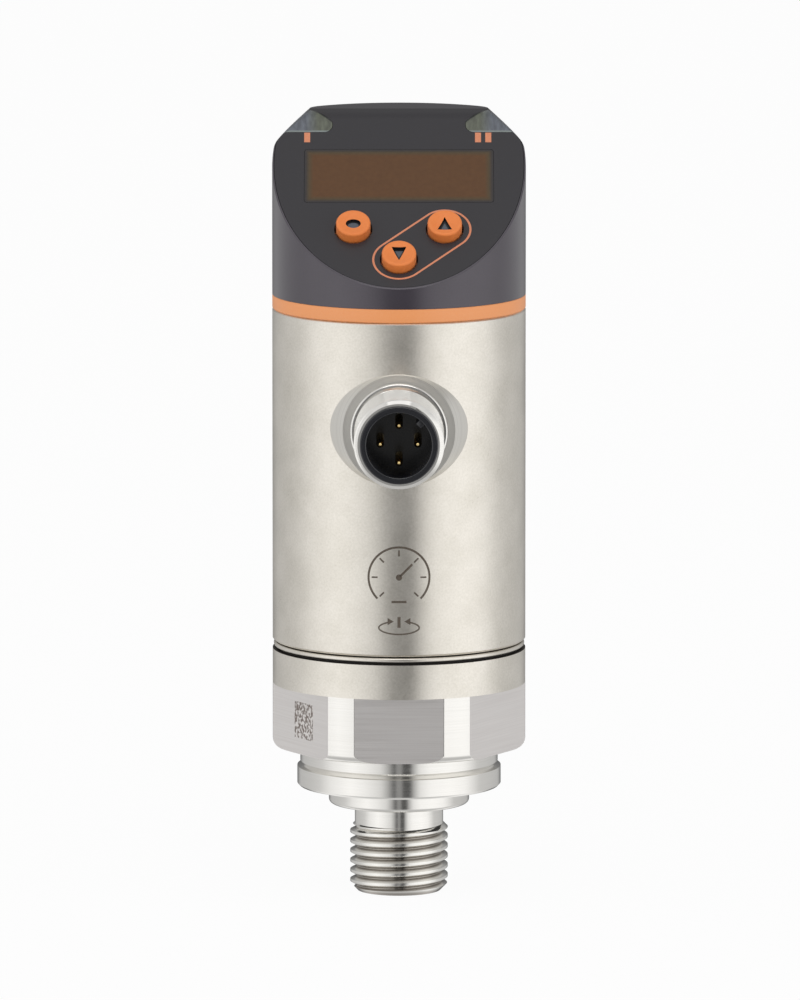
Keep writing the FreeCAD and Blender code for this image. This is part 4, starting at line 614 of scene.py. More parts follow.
# Glass-fibre laminate under green solder mask; its cloth shows as a faint check.  The real one is
# about 0.6 mm and it is drawn twice as wide.
board_laminate, tree, place = started("laminate_solder_mask")
warp, weft = (add_node(tree, "TexWave", {"Vector": place, "Scale": per(0.6) / math.tau},
                       bands_direction=way) for way in "XZ")
cloth = add_node(tree, "Math", {0: warp.outputs["Fac"], 1: weft.outputs["Fac"]},
                 operation="MULTIPLY")
surfaced(tree, cloth.outputs[0], ("#0c5a31", "#16703f"), {"Roughness": 0.28, "Coat Weight": 0.4})
finished(board_laminate, "cell_board", "connector_board", "main_board", "display_board")

# Silicone jacket of the cell cable, extruded: grey, with faint lines along it.
cable_jacket, tree, place = started("silicone_extruded")
stretched = add_node(tree, "Mapping", {"Vector": place, "Scale": (per(0.3), per(0.3), per(6.0))})
drawn = add_node(tree, "TexNoise", {"Vector": stretched.outputs[0], "Scale": 1.0})
surfaced(tree, drawn.outputs[0], ("#85868a", "#97989b"), {"Roughness": 0.5})
finished(cable_jacket, "cell_cable")

# ---------------------------------------------------------------- housing sleeve
# Drawn steel tube that turns on the spigot: a collar inside its lower end, a snap groove for the
# head inside its upper end, and a welded conical boss for the connector.  Blasted, but for the boss.
sleeve_low, sleeve_high = millimetres("housing_sleeve")
SLEEVE_BOTTOM, SLEEVE_TOP = sleeve_low.z, sleeve_high.z
BOSS_FACE = -sleeve_low.y
SLEEVE_BORE, EDGE = 15.3, 0.25
CONNECTOR_LEVEL = {mount["name"]: mount for mount in frame["record"]["mounts"]}[
    "connector_thread"]["pos_m"][2] / MM
CONNECTOR_RADIUS = 6.0
BOSS_RADIUS, BOSS_SLOPE, BOSS_DEPTH = CONNECTOR_RADIUS + 1.5, 0.59, 3.2


def faced_forward(piece):
    """Turns a piece made about Z so that it points along -Y, at the connector's level."""
    chosen(piece)
    piece.rotation_euler = (math.radians(90), 0, 0)
    piece.location = (0, 0, CONNECTOR_LEVEL * MM)
    bpy.ops.object.transform_apply()
    return piece


SNAP_GROOVE = ((0, 2.67), (0.35, 2.97), (0.35, 3.57), (0, 3.87))
COLLAR_BORE, COLLAR_TALL = SPIGOT_RADIUS + 0.05, 5.64
housing_sleeve = turned("housing_sleeve_turned", [
    (COLLAR_BORE, SLEEVE_BOTTOM), (BODY_RADIUS - EDGE, SLEEVE_BOTTOM), (BODY_RADIUS, SLEEVE_BOTTOM + EDGE),
    (BODY_RADIUS, CONNECTOR_LEVEL - 10.5), (BODY_RADIUS, CONNECTOR_LEVEL + 10.5),
    (BODY_RADIUS, SLEEVE_TOP - EDGE), (BODY_RADIUS - EDGE, SLEEVE_TOP), (SLEEVE_BORE, SLEEVE_TOP),
    *((SLEEVE_BORE + deep, SLEEVE_TOP - down) for deep, down in SNAP_GROOVE),
    (SLEEVE_BORE, SLEEVE_BOTTOM + COLLAR_TALL), (COLLAR_BORE, SLEEVE_BOTTOM + COLLAR_TALL)])
boss = faced_forward(turned("boss_cone", [
    (0, BOSS_FACE - BOSS_DEPTH), (BOSS_RADIUS + BOSS_SLOPE * BOSS_DEPTH, BOSS_FACE - BOSS_DEPTH),
    (BOSS_RADIUS, BOSS_FACE), (0, BOSS_FACE)]))
machined(boss, turned("boss_relief", [
    (0, 30), (SLEEVE_BORE + 0.2, 30), (SLEEVE_BORE + 0.2, 66), (0, 66)]))
machined(housing_sleeve, boss, "UNION")
machined(housing_sleeve, faced_forward(turned("connector_hole", [
    (0, 5), (CONNECTOR_RADIUS + 0.02, 5), (CONNECTOR_RADIUS + 0.02, 20), (0, 20)], 128)))
smoothed(housing_sleeve, 8)
coated(housing_sleeve, blasted_steel)

# The boss is turned after welding: a finer satin, with rings about the connector's axis that are
# 0.05 mm apart and drawn 0.15 mm apart.
turned_steel, tree, place = started("stainless_steel_fine_turned")
centred = add_node(tree, "Mapping", {"Vector": place, "Location": (0, 0, -CONNECTOR_LEVEL * MM),
                                     "Scale": (1, 0, 1)})
radius = add_node(tree, "VectorMath", {0: centred.outputs[0]}, operation="LENGTH")
spacing = add_node(tree, "Math", {0: radius.outputs["Value"], 1: per(0.15)}, operation="MULTIPLY")
cuts = add_node(tree, "TexNoise", {"W": spacing.outputs[0], "Scale": 1.0, "Detail": 1.0},
                noise_dimensions="1D")
surfaced(tree, cuts.outputs[0], ("#dfdcd6", "#f2f0ea"), {"Metallic": 1.0, "Roughness": 0.36},
         (0.2, 0.004, cuts.outputs[0]))
coated(housing_sleeve, turned_steel, lambda centre, normal: centre.y < -SLEEVE_BORE + 1.4
       and math.hypot(centre.x, centre.z - CONNECTOR_LEVEL) < BOSS_RADIUS + 2
       and (-0.6 < normal.y < -0.4 or normal.y < -0.999 and centre.y < 0.1 - BOSS_FACE))
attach(housing_sleeve, "housing")
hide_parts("housing_sleeve")

# ---------------------------------------------------------------- pictograms on the sleeve
# Two plain pictograms, annealed into the steel by a laser: a dial with a pointer, and below it the
# sign for a part that turns about its upright axis.  They are thin dark films on the sleeve.
MARK_DEPTH = 0.006
laser_mark = grained("stainless_steel_laser_annealed", 0.3, 2.0, ("#544b42", "#7c7267"),
                     {"Metallic": 0.5, "Roughness": 0.5})


def laid(scale, place=(0, 0), turn=0):
    """Stretches, turns and moves the flat shape that was added last."""
    piece = bpy.context.object
    piece.scale = (*scale, 1)
    piece.rotation_euler = (0, 0, math.radians(turn))
    piece.location = (place[0] * MM, place[1] * MM, 0)
    bpy.ops.object.transform_apply()
    return piece


def flat_ring(wide, tall, line):
    """A flat ring in the XY plane: wide and tall over all, with a line of this width."""
    deselected()
    bpy.ops.mesh.primitive_circle_add(vertices=96, radius=0.5, fill_type="NGON")
    piece = laid((wide * MM, tall * MM))
    bpy.ops.object.mode_set(mode="EDIT")
    bpy.ops.mesh.select_mode(type="FACE")
    bpy.ops.mesh.select_all(action="SELECT")
    bpy.ops.mesh.inset(thickness=line * MM)
    bpy.ops.mesh.delete(type="FACE")
    bpy.ops.object.mode_set(mode="OBJECT")
    return piece


def flat_shape(corners, radius, place, turn=0):
    """A flat filled shape of so many corners in the XY plane."""
    deselected()
    bpy.ops.mesh.primitive_circle_add(vertices=corners, radius=radius * MM, fill_type="NGON")
    return laid((1, 1), place, turn)


def flat_bar(wide, tall, place, turn=0):
    """A flat bar in the XY plane, in short steps so that it can follow a curve."""
    deselected()
    bpy.ops.mesh.primitive_grid_add(x_subdivisions=8, y_subdivisions=8, size=1)
    return laid((wide * MM, tall * MM), place, turn)


def picked(piece, kind, wanted):
    """Opens a piece for editing, with only the vertices or faces selected that pass a test."""
    chosen(piece)
    bpy.ops.object.mode_set(mode="EDIT")
    bpy.ops.mesh.select_mode(type=kind)
    bpy.ops.mesh.select_all(action="DESELECT")
    bpy.ops.object.mode_set(mode="OBJECT")
    for element in piece.data.vertices if kind == "VERT" else piece.data.polygons:
        element.select = wanted(element)
    bpy.ops.object.mode_set(mode="EDIT")


def open_gap(piece, wanted):
    """Takes the faces out of a flat shape whose centres, in millimetres, pass a test."""
    picked(piece, "FACE", lambda face: wanted(face.center / MM))
    bpy.ops.mesh.delete(type="FACE")
    bpy.ops.object.mode_set(mode="OBJECT")


def joined(name, shapes):
    """Makes one piece of several."""
    deselected()
    for shape in shapes:
        shape.select_set(True)
    bpy.context.view_layer.objects.active = shapes[0]
    bpy.ops.object.join()
    shapes[0].name = name
    return shapes[0]


def thickened(piece, depth, offset=1):
    """Gives a flat film its thickness."""
    chosen(piece)
    film = piece.modifiers.new("film", "SOLIDIFY")
    film.thickness = depth * MM
    film.offset = offset
    bpy.ops.object.modifier_apply(modifier=film.name)
    return piece


def marked_on_sleeve(name, shapes, level):
    """Lays flat shapes on the front of the sleeve, with their middle at a level."""
    piece = joined(name, shapes)
    piece.rotation_euler = (math.radians(90), 0, 0)
    piece.location = (0, -(BODY_RADIUS + 3) * MM, level * MM)
    bpy.ops.object.transform_apply()
    wrap = piece.modifiers.new("wrap", "SHRINKWRAP")
    wrap.wrap_method = "PROJECT"
    wrap.use_project_y = True
    wrap.use_positive_direction = True
    wrap.target = housing_sleeve
    bpy.ops.object.modifier_apply(modifier=wrap.name)
    thickened(piece, 2 * MARK_DEPTH, 0)
    coated(piece, laser_mark)
    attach(piece, "housing")


DIAL_LEVEL, DIAL_SIZE, DIAL_LINE = 33.1, 8.4, 0.28
dial = flat_ring(DIAL_SIZE, DIAL_SIZE, DIAL_LINE)
open_gap(dial, lambda centre: centre.y < -abs(centre.x))
shapes = [dial]
for step in range(7):
    way = math.radians(-45 + 45 * step)
    shapes.append(flat_bar(0.8, 0.22, (math.cos(way) * 3.25, math.sin(way) * 3.25), math.degrees(way)))
shapes.append(flat_bar(2.6, 0.3, (0.85, 0.85), 45))
shapes.append(flat_shape(24, 0.42, (0, 0)))
shapes.append(flat_bar(2.0, 0.3, (0, -3.3)))
marked_on_sleeve("dial_pictogram", shapes, DIAL_LEVEL)

TURN_LEVEL = 26.3
round_arrow = flat_ring(5.6, 1.95, 0.2)
open_gap(round_arrow, lambda centre: centre.y > 0 and abs(centre.x) < 1.15)
shapes = [round_arrow, flat_bar(0.42, 1.45, (0, 0.75)),
          flat_shape(3, 0.55, (-1.25, 0.86), -90), flat_shape(3, 0.55, (1.25, 0.86), 90)]
marked_on_sleeve("turning_pictogram", shapes, TURN_LEVEL)

# ---------------------------------------------------------------- connector shell
# Turned M12 x 1 plug shell, welded into the boss: shank, flange, undercut and the thread for the
# union nut of the cable's plug.
shell_low, shell_high = millimetres("connector_shell")
SHELL_FRONT, SHELL_BACK = -shell_low.y, -shell_high.y
SHELL_BORE = CONNECTOR_RADIUS - 1
FLANGE_RADIUS, FLANGE_FRONT = CONNECTOR_RADIUS + 0.5, BOSS_FACE + 1.2
UNDERCUT_RADIUS, THREAD_START, M12_PITCH, M12_FLANK = CONNECTOR_RADIUS - 0.55, BOSS_FACE + 2.45, 1.0, 30
connector_shell = threaded_rod("connector_shell_turned", CONNECTOR_RADIUS, CONNECTOR_RADIUS - 0.6,
                               M12_PITCH, M12_FLANK, 0.55, THREAD_START - 1.0, SHELL_FRONT)
machined(connector_shell, turned("shell_blank", [
    (0, THREAD_START - 1.0), (UNDERCUT_RADIUS, THREAD_START - 1.0), (UNDERCUT_RADIUS, THREAD_START - 0.45),
    (CONNECTOR_RADIUS, THREAD_START), (CONNECTOR_RADIUS, SHELL_FRONT - 0.5),
    (CONNECTOR_RADIUS - 0.5, SHELL_FRONT), (0, SHELL_FRONT)], 192), "INTERSECT")
shank = turned("shell_shank", [
    (0, SHELL_BACK), (CONNECTOR_RADIUS, SHELL_BACK), (CONNECTOR_RADIUS, BOSS_FACE),
    (FLANGE_RADIUS, BOSS_FACE), *arc(FLANGE_RADIUS - EDGE, FLANGE_FRONT - EDGE, EDGE, 0, 90),
    (UNDERCUT_RADIUS - 0.01, FLANGE_FRONT), (UNDERCUT_RADIUS - 0.01, THREAD_START - 0.7),
    (0, THREAD_START - 0.7)], 192)
machined(connector_shell, shank, "UNION")
machined(connector_shell, turned("shell_drill", [
    (0, SHELL_BACK - 1), (SHELL_BORE, SHELL_BACK - 1), (SHELL_BORE, SHELL_FRONT + 1),
    (0, SHELL_FRONT + 1)], 128))
faced_forward(smoothed(connector_shell, 30))
coated(connector_shell, polished_steel)
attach(connector_shell, "housing")
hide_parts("connector_shell")

# ---------------------------------------------------------------- connector insert
# Moulded nylon insert with a raised rim, a deep socket with a bevelled mouth, a coding key and a
# groove for its sealing ring.
insert_low, insert_high = millimetres("connector_insert")
INSERT_FRONT, INSERT_BACK = -insert_low.y, -insert_high.y
RIM_RADIUS, RIM_ROUND, SOCKET_RADIUS, SOCKET_BEVEL, SOCKET_DEPTH = 5.2, 0.2, 4.32, 0.18, 9.0
INSERT_RADIUS = SHELL_BORE - 0.05
GROOVE_RADIUS, GROOVE_LOW, GROOVE_HIGH = INSERT_RADIUS - 0.8, INSERT_BACK + 3.3, INSERT_BACK + 4.5
CONTACT_CIRCLE, CONTACT_RADIUS = 2.5, 0.5
connector_insert = turned("connector_insert_moulded", [
    (0, INSERT_FRONT - SOCKET_DEPTH), (SOCKET_RADIUS, INSERT_FRONT - SOCKET_DEPTH),
    *arc(SOCKET_RADIUS + SOCKET_BEVEL, INSERT_FRONT - SOCKET_BEVEL, SOCKET_BEVEL, 180, 90, 4),
    *arc(RIM_RADIUS - RIM_ROUND, INSERT_FRONT - RIM_ROUND, RIM_ROUND, 90, 0), (RIM_RADIUS, SHELL_FRONT),
    (INSERT_RADIUS, SHELL_FRONT), (INSERT_RADIUS, GROOVE_HIGH), (GROOVE_RADIUS, GROOVE_HIGH),
    (GROOVE_RADIUS, GROOVE_LOW), (INSERT_RADIUS, GROOVE_LOW), (INSERT_RADIUS, INSERT_BACK),
    (0, INSERT_BACK)], 192)
KEY_REACH, KEY_DEEP, KEY_WIDE, KEY_OUT, KEY_TURN = INSERT_FRONT - 0.4, 1.12, 0.9, 4.16, math.radians(45)
key = block(KEY_DEEP, KEY_WIDE, SOCKET_DEPTH, (
    math.cos(KEY_TURN) * KEY_OUT, math.sin(KEY_TURN) * KEY_OUT, KEY_REACH - SOCKET_DEPTH / 2), 45)
broken_edges(key, 0.12, 30, 2, 40)
machined(connector_insert, key, "UNION")


def at_contact(step, piece):
    """Moves a piece made on the axis to one of the four contacts."""
    way = math.radians(90 * step)
    piece.location = (math.cos(way) * CONTACT_CIRCLE * MM, math.sin(way) * CONTACT_CIRCLE * MM, 0)
    bpy.ops.object.transform_apply()
    return piece


for step in range(4):
    machined(connector_insert, at_contact(step, turned("contact_drill", [
        (0, INSERT_BACK - 1), (CONTACT_RADIUS + 0.02, INSERT_BACK - 1), (CONTACT_RADIUS + 0.02, INSERT_FRONT),
        (0, INSERT_FRONT)], 48)))
faced_forward(smoothed(connector_insert, 30))

# Glass-filled nylon 6.6, moulded: near black and slightly bluish, with a fine spark-eroded grain
# of about 0.1 mm, drawn 0.22 mm wide.
moulded_nylon = grained("nylon_glass_filled_moulded", 0.22, 3.0, ("#191a1e", "#212227"),
                        {"Roughness": 0.2, "IOR": 1.6}, (0.2, 0.006))
coated(connector_insert, moulded_nylon)
finished(moulded_nylon, "board_carrier")
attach(connector_insert, "housing")
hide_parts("connector_insert")

# ---------------------------------------------------------------- contact pins
# Four turned brass pins with tapered noses, plated with gold, pressed through the insert.
pin_low, pin_high = millimetres("contact_pins")
PIN_TIP, PIN_TAIL = -pin_low.y, -pin_high.y
NOSE_RADIUS, NOSE_START = 0.28, 0.62
pins = [smoothed(at_contact(step, turned(f"pin_{step}", [
    (0, PIN_TAIL), (CONTACT_RADIUS, PIN_TAIL), (CONTACT_RADIUS, PIN_TIP - NOSE_START), (0.47, PIN_TIP - 0.56),
    *arc(0, PIN_TIP - NOSE_RADIUS, NOSE_RADIUS, 30, 86, 6), (0, PIN_TIP)], 48)), 40) for step in range(4)]
contact_pins = faced_forward(joined("contact_pins_turned", pins))

# Gold over brass: a warm mirror, with a slight cloud.
gold_plate = grained("brass_gold_plated", 0.4, 3.0, ("#e3bf74", "#f8e2ad"),
                     {"Metallic": 1.0, "Roughness": 0.12})
coated(contact_pins, gold_plate)
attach(contact_pins, "housing")
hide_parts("contact_pins")

# ---------------------------------------------------------------- parts soldered to the boards
# Header, cable socket, controller, drivers, capacitors, key switches and ribbon: the CAD solids,
# in moulded epoxy and in polyimide film.
# Epoxy pressed round the chips: near black and dull, with fine specks of its filler.
moulded_epoxy = grained("epoxy_transfer_moulded", 0.15, 2.0, ("#1d1d1f", "#333336"), {"Roughness": 0.5})
finished(moulded_epoxy, "link_header", "board_components", "key_switches", "switch_stem_enter",
         "switch_stem_down", "switch_stem_up")

# Polyimide film: clear amber, with its copper tracks as lighter bands.
polyimide_film, tree, place = started("polyimide_film_with_tracks")
tracks = add_node(tree, "TexWave", {"Vector": place, "Scale": per(0.8) / math.tau},
                  bands_direction="X")
surfaced(tree, tracks.outputs["Fac"], ("#9a5a16", "#c98a3a"), {"Roughness": 0.3})
finished(polyimide_film, "display_flex")

# ---------------------------------------------------------------- accent ring
# Moulded orange ring, slipped over the skirt of the head and held between head and sleeve.
ring_low, ring_high = millimetres("accent_ring")
RING_BORE, RING_ROUND = 15.25, 0.15
accent_ring = turned("accent_ring_moulded", [
    (RING_BORE, ring_low.z),
    *arc(BODY_RADIUS - RING_ROUND, ring_low.z + RING_ROUND, RING_ROUND, -90, 0, 4),
    *arc(BODY_RADIUS - RING_ROUND, ring_high.z - RING_ROUND, RING_ROUND, 0, 90, 4),
    (RING_BORE, ring_high.z)])
smoothed(accent_ring, 30)

# ABS, moulded in an eroded tool: an even orange with a low sheen.  Its grain of about 0.15 mm is
# drawn 0.25 mm wide.
orange_abs = grained("abs_moulded_orange", 0.25, 3.0, ("#ffa462", "#ffae74"),
                     {"Roughness": 0.38, "IOR": 1.53}, (0.2, 0.008))
coated(accent_ring, orange_abs)
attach(accent_ring, "housing")
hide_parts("accent_ring")

# ---------------------------------------------------------------- head
# Moulded from one black plastic: skirt with snap bead, round wall, bevelled corners and soft brow.
# The face plate of the same plastic lies in its sloped face.
# Polybutylene terephthalate, moulded in a tool with a fine eroded grain: charcoal with a violet
# cast, and a skin of its own gloss over it.  The grain of about 0.1 mm is drawn 0.2 mm wide.
head_plastic, tree, place = started("pbt_moulded_fine_grain")
grain = add_node(tree, "TexNoise", {"Vector": place, "Scale": per(0.2), "Detail": 3.0})
flow = add_node(tree, "TexNoise", {"Vector": place, "Scale": per(6.0), "Detail": 2.0})
speck = add_node(tree, "Math", {0: grain.outputs[0], 1: flow.outputs[0]}, operation="ADD")
spread = add_node(tree, "MapRange", {0: speck.outputs[0], 1: 0.7, 2: 1.3})
surfaced(tree, spread.outputs[0], ("#2f2a33", "#38323c"),
         {"Roughness": 0.3, "IOR": 1.6, "Specular Tint": (1.0, 0.93, 1.0, 1.0), "Coat Weight": 0.8,
          "Coat Roughness": 0.28}, (0.3, 0.012, grain.outputs[0]))
finished(head_plastic, "head_cap")

# The face plate: the same plastic, a little duller.
plate_plastic = grained("pbt_moulded_matt", 0.16, 3.0, ("#2b292d", "#333135"),
                        {"Roughness": 0.45, "IOR": 1.5}, (0.3, 0.01))
finished(plate_plastic, "face_plate")

# ---------------------------------------------------------------- print on the face plate
# Pad printing in orange ink: a line round the two arrow keys, one tick below the left status lens
# and two below the right one.
FACE_TILT = math.radians(40.7)
FACE_LOW = 71.85
BUTTON_X, BUTTON_UPPER, BUTTON_LOWER = 6.1, 10.75, 5.3
PRINT_DEPTH = 0.012


def on_face(piece, across=0, rise=0, out=0):
    """Lays a piece made in the XY plane on the sloped face; its Y runs up the slope."""
    chosen(piece)
    piece.rotation_euler = (FACE_TILT, 0, 0)
    piece.location = Vector((
        across, -BODY_RADIUS + rise * math.cos(FACE_TILT) - out * math.sin(FACE_TILT),
        FACE_LOW + rise * math.sin(FACE_TILT) + out * math.cos(FACE_TILT))) * MM
    bpy.ops.object.transform_apply()


# Ink laid by a soft pad: a thin even film, paler and duller than the moulded orange.
printed_orange = grained("pad_print_ink_orange", 0.2, 2.0, ("#dc8660", "#ee9c74"), {"Roughness": 0.45})

KEY_LINE_RADIUS, KEY_LINE_WIDTH = 3.43, 0.28
reach = math.hypot(BUTTON_X, BUTTON_UPPER - BUTTON_LOWER)
lean = math.atan2(BUTTON_UPPER - BUTTON_LOWER, BUTTON_X)
key_line_size = 2 * KEY_LINE_RADIUS + KEY_LINE_WIDTH
key_line = flat_ring(key_line_size, key_line_size, KEY_LINE_WIDTH)
picked(key_line, "VERT", lambda point: point.co.x > 1e-9)
bpy.ops.transform.translate(value=(reach * MM, 0, 0))
bpy.ops.object.mode_set(mode="OBJECT")
key_line.rotation_euler = (0, 0, lean)
bpy.ops.object.transform_apply()
key_line.name = "key_outline_print"
thickened(key_line, PRINT_DEPTH, 0)
on_face(key_line, 0, BUTTON_LOWER)

TICK_WIDE, TICK_TALL, TICK_RISE = 0.8, 1.75, 27.38
ticks = [flat_bar(TICK_WIDE, TICK_TALL, (x, 0)) for x in (-12.32, 10.6, 11.98)]
tick_print = thickened(joined("status_ticks_print", ticks), PRINT_DEPTH, 0)
on_face(tick_print, 0, TICK_RISE)
for piece in (key_line, tick_print):
    coated(piece, printed_orange)
    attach(piece, "housing")

# ---------------------------------------------------------------- display window and display
# Tinted polycarbonate pane, flush with the face plate.  Its back is sprayed in the plate's colour
# round the edge, so the amber brown of the display fades out over about a millimetre.
WINDOW_HALF, WINDOW_LOW, WINDOW_HIGH = 12.7, 15.55, 25.25


def face_map(tree, place):
    """The place of a point on the sloped face, how far it is to the side, and how far up."""
    upright = add_node(tree, "Mapping", {
        "Vector": place, "Location": (0, BODY_RADIUS * MM, -FACE_LOW * MM)})
    leaned = add_node(tree, "Mapping", {
        "Vector": upright.outputs[0], "Rotation": (-FACE_TILT, 0, 0)})
    spot = add_node(tree, "SeparateXYZ", {0: leaned.outputs[0]})
    side = add_node(tree, "Math", {0: spot.outputs["X"]}, operation="ABSOLUTE")
    return leaned.outputs[0], side.outputs[0], spot.outputs["Y"]


tinted_pane, tree, place = started("polycarbonate_tinted")
on_slope, side, rise = face_map(tree, place)
from_side = add_node(tree, "Math", {0: WINDOW_HALF * MM, 1: side}, operation="SUBTRACT")
middle = (WINDOW_LOW + WINDOW_HIGH) / 2
off_middle = add_node(tree, "Math", {0: rise, 1: middle * MM}, operation="SUBTRACT")
height = add_node(tree, "Math", {0: off_middle.outputs[0]}, operation="ABSOLUTE")
from_end = add_node(tree, "Math", {0: (WINDOW_HIGH - middle) * MM, 1: height.outputs[0]},
                    operation="SUBTRACT")
margin = add_node(tree, "Math", {0: from_side.outputs[0], 1: from_end.outputs[0]},
                  operation="SMOOTH_MIN")
margin.inputs[2].default_value = 0.4 * MM
share = add_node(tree, "MapRange", {0: margin.outputs[0], 1: 0.0, 2: 2.0 * MM})
fade = add_node(tree, "ValToRGB", {0: share.outputs[0]})
FADE = ((0.0, "#343236"), (0.14, "#3d3835"), (0.34, "#54452f"), (0.62, "#614125"))
while len(fade.color_ramp.elements) < len(FADE):
    fade.color_ramp.elements.new(0.5)
for element, (position, colour) in zip(fade.color_ramp.elements, FADE):
    element.position = position
    element.color = linear(colour)
haze = add_node(tree, "TexNoise", {"Vector": place, "Scale": per(0.7), "Detail": 2.0})
deeper = add_node(tree, "MapRange", {0: haze.outputs[0], 1: 0.3, 2: 0.7, 3: 0.94, 4: 1.06})
tone = add_node(tree, "VectorMath", {0: fade.outputs[0], 1: deeper.outputs[0]},
                operation="MULTIPLY")
surface = add_node(tree, "BsdfPrincipled", {
    "Base Color": tone.outputs[0], "Roughness": 0.12, "Specular IOR Level": 0.25})
add_node(tree, "OutputMaterial", {"Surface": surface.outputs[0]})
finished(tinted_pane, "display_window")

# Glass of the unlit display: dark amber, with the faint bands of its cells.
display_glass, tree, place = started("display_module_glass")
cells = add_node(tree, "TexWave", {"Vector": place, "Scale": per(4.0) / math.tau},
                 bands_direction="X")
surfaced(tree, cells.outputs["Fac"], ("#2b1b10", "#3a2718"), {"Roughness": 0.15})
finished(display_glass, "display_module")

# Cast resin over the two status lamps: milky and off-white.
led_resin = grained("led_diffuser_resin", 0.3, 2.0, ("#dcd6c4", "#ece8da"), {"Roughness": 0.3})
finished(led_resin, "status_leds")

# ---------------------------------------------------------------- status lenses
# Light guides of smoke-tinted polycarbonate in the bevelled corners: olive towards the middle,
# bluish towards the corner, a painted shadow along the slanting edge and a painted highlight along the lower
# edge.
LENS_EDGE, LENS_LOW, LENS_SIDE = 8.95, 28.38, 2.1
smoked_lens, tree, place = started("polycarbonate_smoked_polished")
on_slope, side, rise = face_map(tree, place)
stretched = add_node(tree, "Mapping", {"Vector": on_slope, "Rotation": (0, 0, 0.5),
                                       "Scale": (per(0.5), per(1.8), per(0.8))})
streaks = add_node(tree, "TexNoise", {"Vector": stretched.outputs[0], "Scale": 1.0, "Detail": 3.0})
corner = add_node(tree, "MapRange", {0: side, 1: 10.9 * MM, 2: 12.5 * MM})
cast = add_node(tree, "Mix", {0: corner.outputs[0], 6: linear("#64685a"), 7: linear("#6a6f78")},
                data_type="RGBA")
stripe = add_node(tree, "MapRange", {0: streaks.outputs[0], 1: 0.35, 2: 0.7, 3: 0.78, 4: 1.3})
streaked = add_node(tree, "VectorMath", {0: cast.outputs[2], 1: stripe.outputs[0]},
                    operation="MULTIPLY")
# Painted shadow: near black along the slanting edge, where the gap is.
over = add_node(tree, "Math", {0: side, 1: rise}, operation="SUBTRACT")
SHADOW_GAP_LINE = LENS_EDGE - LENS_LOW - LENS_SIDE
slanting = add_node(tree, "MapRange", {
    0: over.outputs[0], 1: (SHADOW_GAP_LINE + 0.25) * MM, 2: (SHADOW_GAP_LINE + 0.55) * MM})
gap_shadow = add_node(tree, "Mix", {0: slanting.outputs[0], 6: linear("#19191b"),
                               7: streaked.outputs[0]}, data_type="RGBA")
# Painted highlight: a pale line along the lower edge.
lit_edge = add_node(tree, "MapRange", {
    0: rise, 1: (LENS_LOW + 0.16) * MM, 2: (LENS_LOW + 0.36) * MM})
tone = add_node(tree, "Mix", {0: lit_edge.outputs[0], 6: linear("#8f9896"), 7: gap_shadow.outputs[2]},
                data_type="RGBA")
ribs = add_node(tree, "Bump", {
    "Strength": 0.2, "Distance": 0.02 * MM, "Height": streaks.outputs[0]})
surface = add_node(tree, "BsdfPrincipled", {
    "Base Color": tone.outputs[2], "Roughness": 0.22, "IOR": 1.5, "Transmission Weight": 0.15,
    "Normal": ribs.outputs[0]})
add_node(tree, "OutputMaterial", {"Surface": surface.outputs[0]})
finished(smoked_lens, "status_lens_left", "status_lens_right")

# ---------------------------------------------------------------- push buttons
# Three orange caps, moulded from silicone-coated plastic, each with a sunk sign: a dot, an arrow
# down and an arrow up.  The sign is filled with black ink, and its floor has a painted reflection in slate
# grey.
BUTTON_RADIUS, BUTTON_HEIGHT, BUTTON_EDGE = 2.3, 1.4, 0.28
FLANGE_LOW, FLANGE_HIGH, FOOT_LOW = -2.3, -1.65, -2.45
DISH, SIGN_FLOOR, DOT_WIDE, DOT_TALL, ARROW_HALF, ARROW_TALL = 0.32, 0.75, 1.0, 0.78, 0.98, 2.3

# ABS under a soft silicone coat: an even strong orange with a dull bloom.
orange_cap = grained("abs_soft_coated_orange", 0.3, 3.0, ("#f5843a", "#fb9248"),
                     {"Roughness": 0.42, "IOR": 1.5, "Sheen Weight": 0.1}, (0.2, 0.01))

# Black ink fills the signs; their floor has a painted reflection, slate grey.
ink_black = grained("filling_ink_black", 0.2, 2.0, ("#131315", "#202024"), {"Roughness": 0.4})
sign_floor_reflection = grained("sign_floor_painted_reflection", 0.25, 2.0, ("#4a505a", "#646b76"), {"Roughness": 0.35})

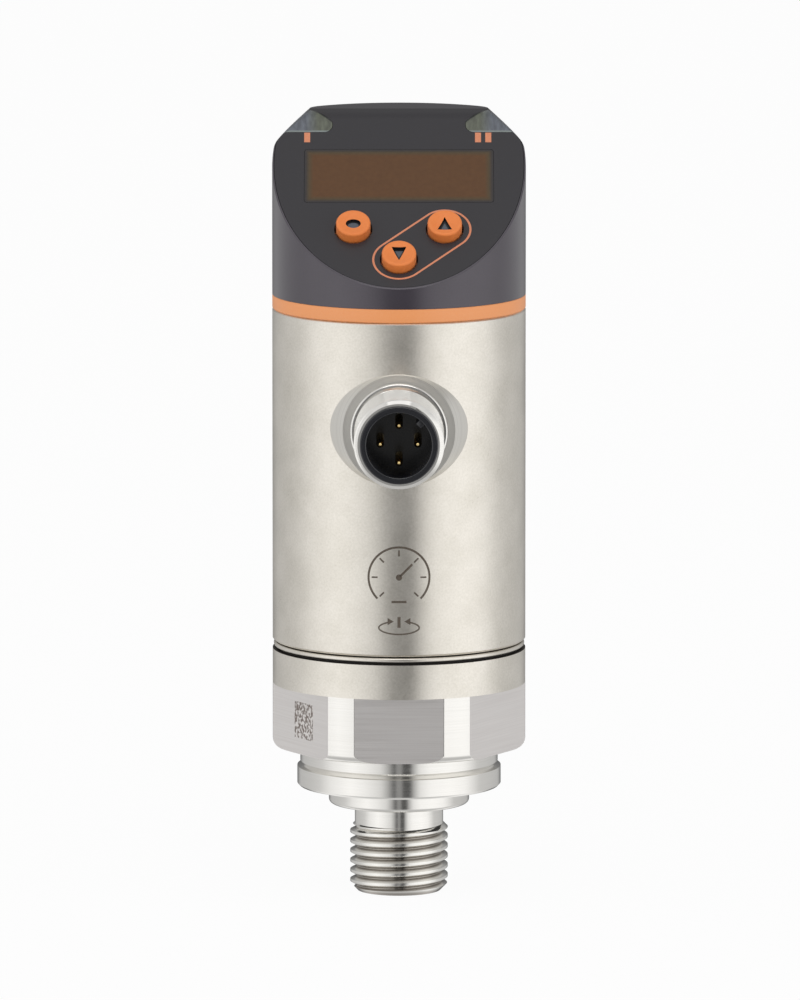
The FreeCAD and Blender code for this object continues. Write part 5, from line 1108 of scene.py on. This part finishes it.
for name, across, rise in (("enter", -BUTTON_X, BUTTON_UPPER), ("down", 0, BUTTON_LOWER),
                           ("up", BUTTON_X, BUTTON_UPPER)):
    button = turned(f"button_{name}_moulded", [
        (0, FOOT_LOW), (1.0, FOOT_LOW), (1.0, FLANGE_LOW), (3.0, FLANGE_LOW), (3.0, FLANGE_HIGH),
        (BUTTON_RADIUS, FLANGE_HIGH),
        *arc(BUTTON_RADIUS - BUTTON_EDGE, BUTTON_HEIGHT - BUTTON_EDGE, BUTTON_EDGE, 0, 90),
        *((1.9 * (1 - step / 6), BUTTON_HEIGHT - DISH * (1 - (1 - step / 6) ** 2)) for step in range(7))], 96)
    if name == "enter":
        sign = turned("sign", [(0, SIGN_FLOOR), (1, SIGN_FLOOR), (1, BUTTON_HEIGHT + 1),
                               (0, BUTTON_HEIGHT + 1)], 48)
        sign.scale = (DOT_WIDE, DOT_TALL, 1)
        bpy.ops.object.transform_apply()
    else:
        deselected()
        bpy.ops.mesh.primitive_cone_add(vertices=3, radius1=MM, radius2=MM, depth=2 * MM)
        sign = bpy.context.object
        bpy.ops.object.transform_apply()
        tips = sorted({(round(p.co.x / MM, 4), round(p.co.y / MM, 4)) for p in sign.data.vertices},
                      key=lambda tip: tip[1])
        top, bottom = tips[-1][1], tips[0][1]
        half = max(tip[0] for tip in tips)
        up = 1 if name == "up" else -1
        if abs(tips[-1][0]) > 0.01:
            up = -up
        sign.scale = (ARROW_HALF / half, up * ARROW_TALL / (top - bottom), 1)
        sign.location = (0, -up * (top + bottom) / 2 * ARROW_TALL / (top - bottom) * MM,
                         (SIGN_FLOOR + 1) * MM)
        bpy.ops.object.transform_apply()
        bpy.ops.object.mode_set(mode="EDIT")
        tidied()
    machined(button, sign)
    coated(button, orange_cap)
    coated(button, ink_black, lambda centre, normal: centre.xy.length < 1.6 and centre.z > SIGN_FLOOR - 0.01
           and (abs(normal.z) < 0.5 or centre.z < SIGN_FLOOR + 0.01))
    # Painted reflection: the middle of each sign's floor is slate grey.
    picked(button, "FACE", lambda face: face.material_index == 1 and abs(face.normal.z) > 0.9)
    bpy.ops.mesh.dissolve_faces()
    bpy.ops.mesh.inset(thickness=0.3 * MM)
    bpy.ops.object.mode_set(mode="OBJECT")
    button.data.materials.append(sign_floor_reflection)
    for face in button.data.polygons:
        if face.select:
            face.material_index = 2
    smoothed(button, 30)
    on_face(button, across, rise)
    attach(button, f"{name}_button")
    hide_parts(f"button_{name}")
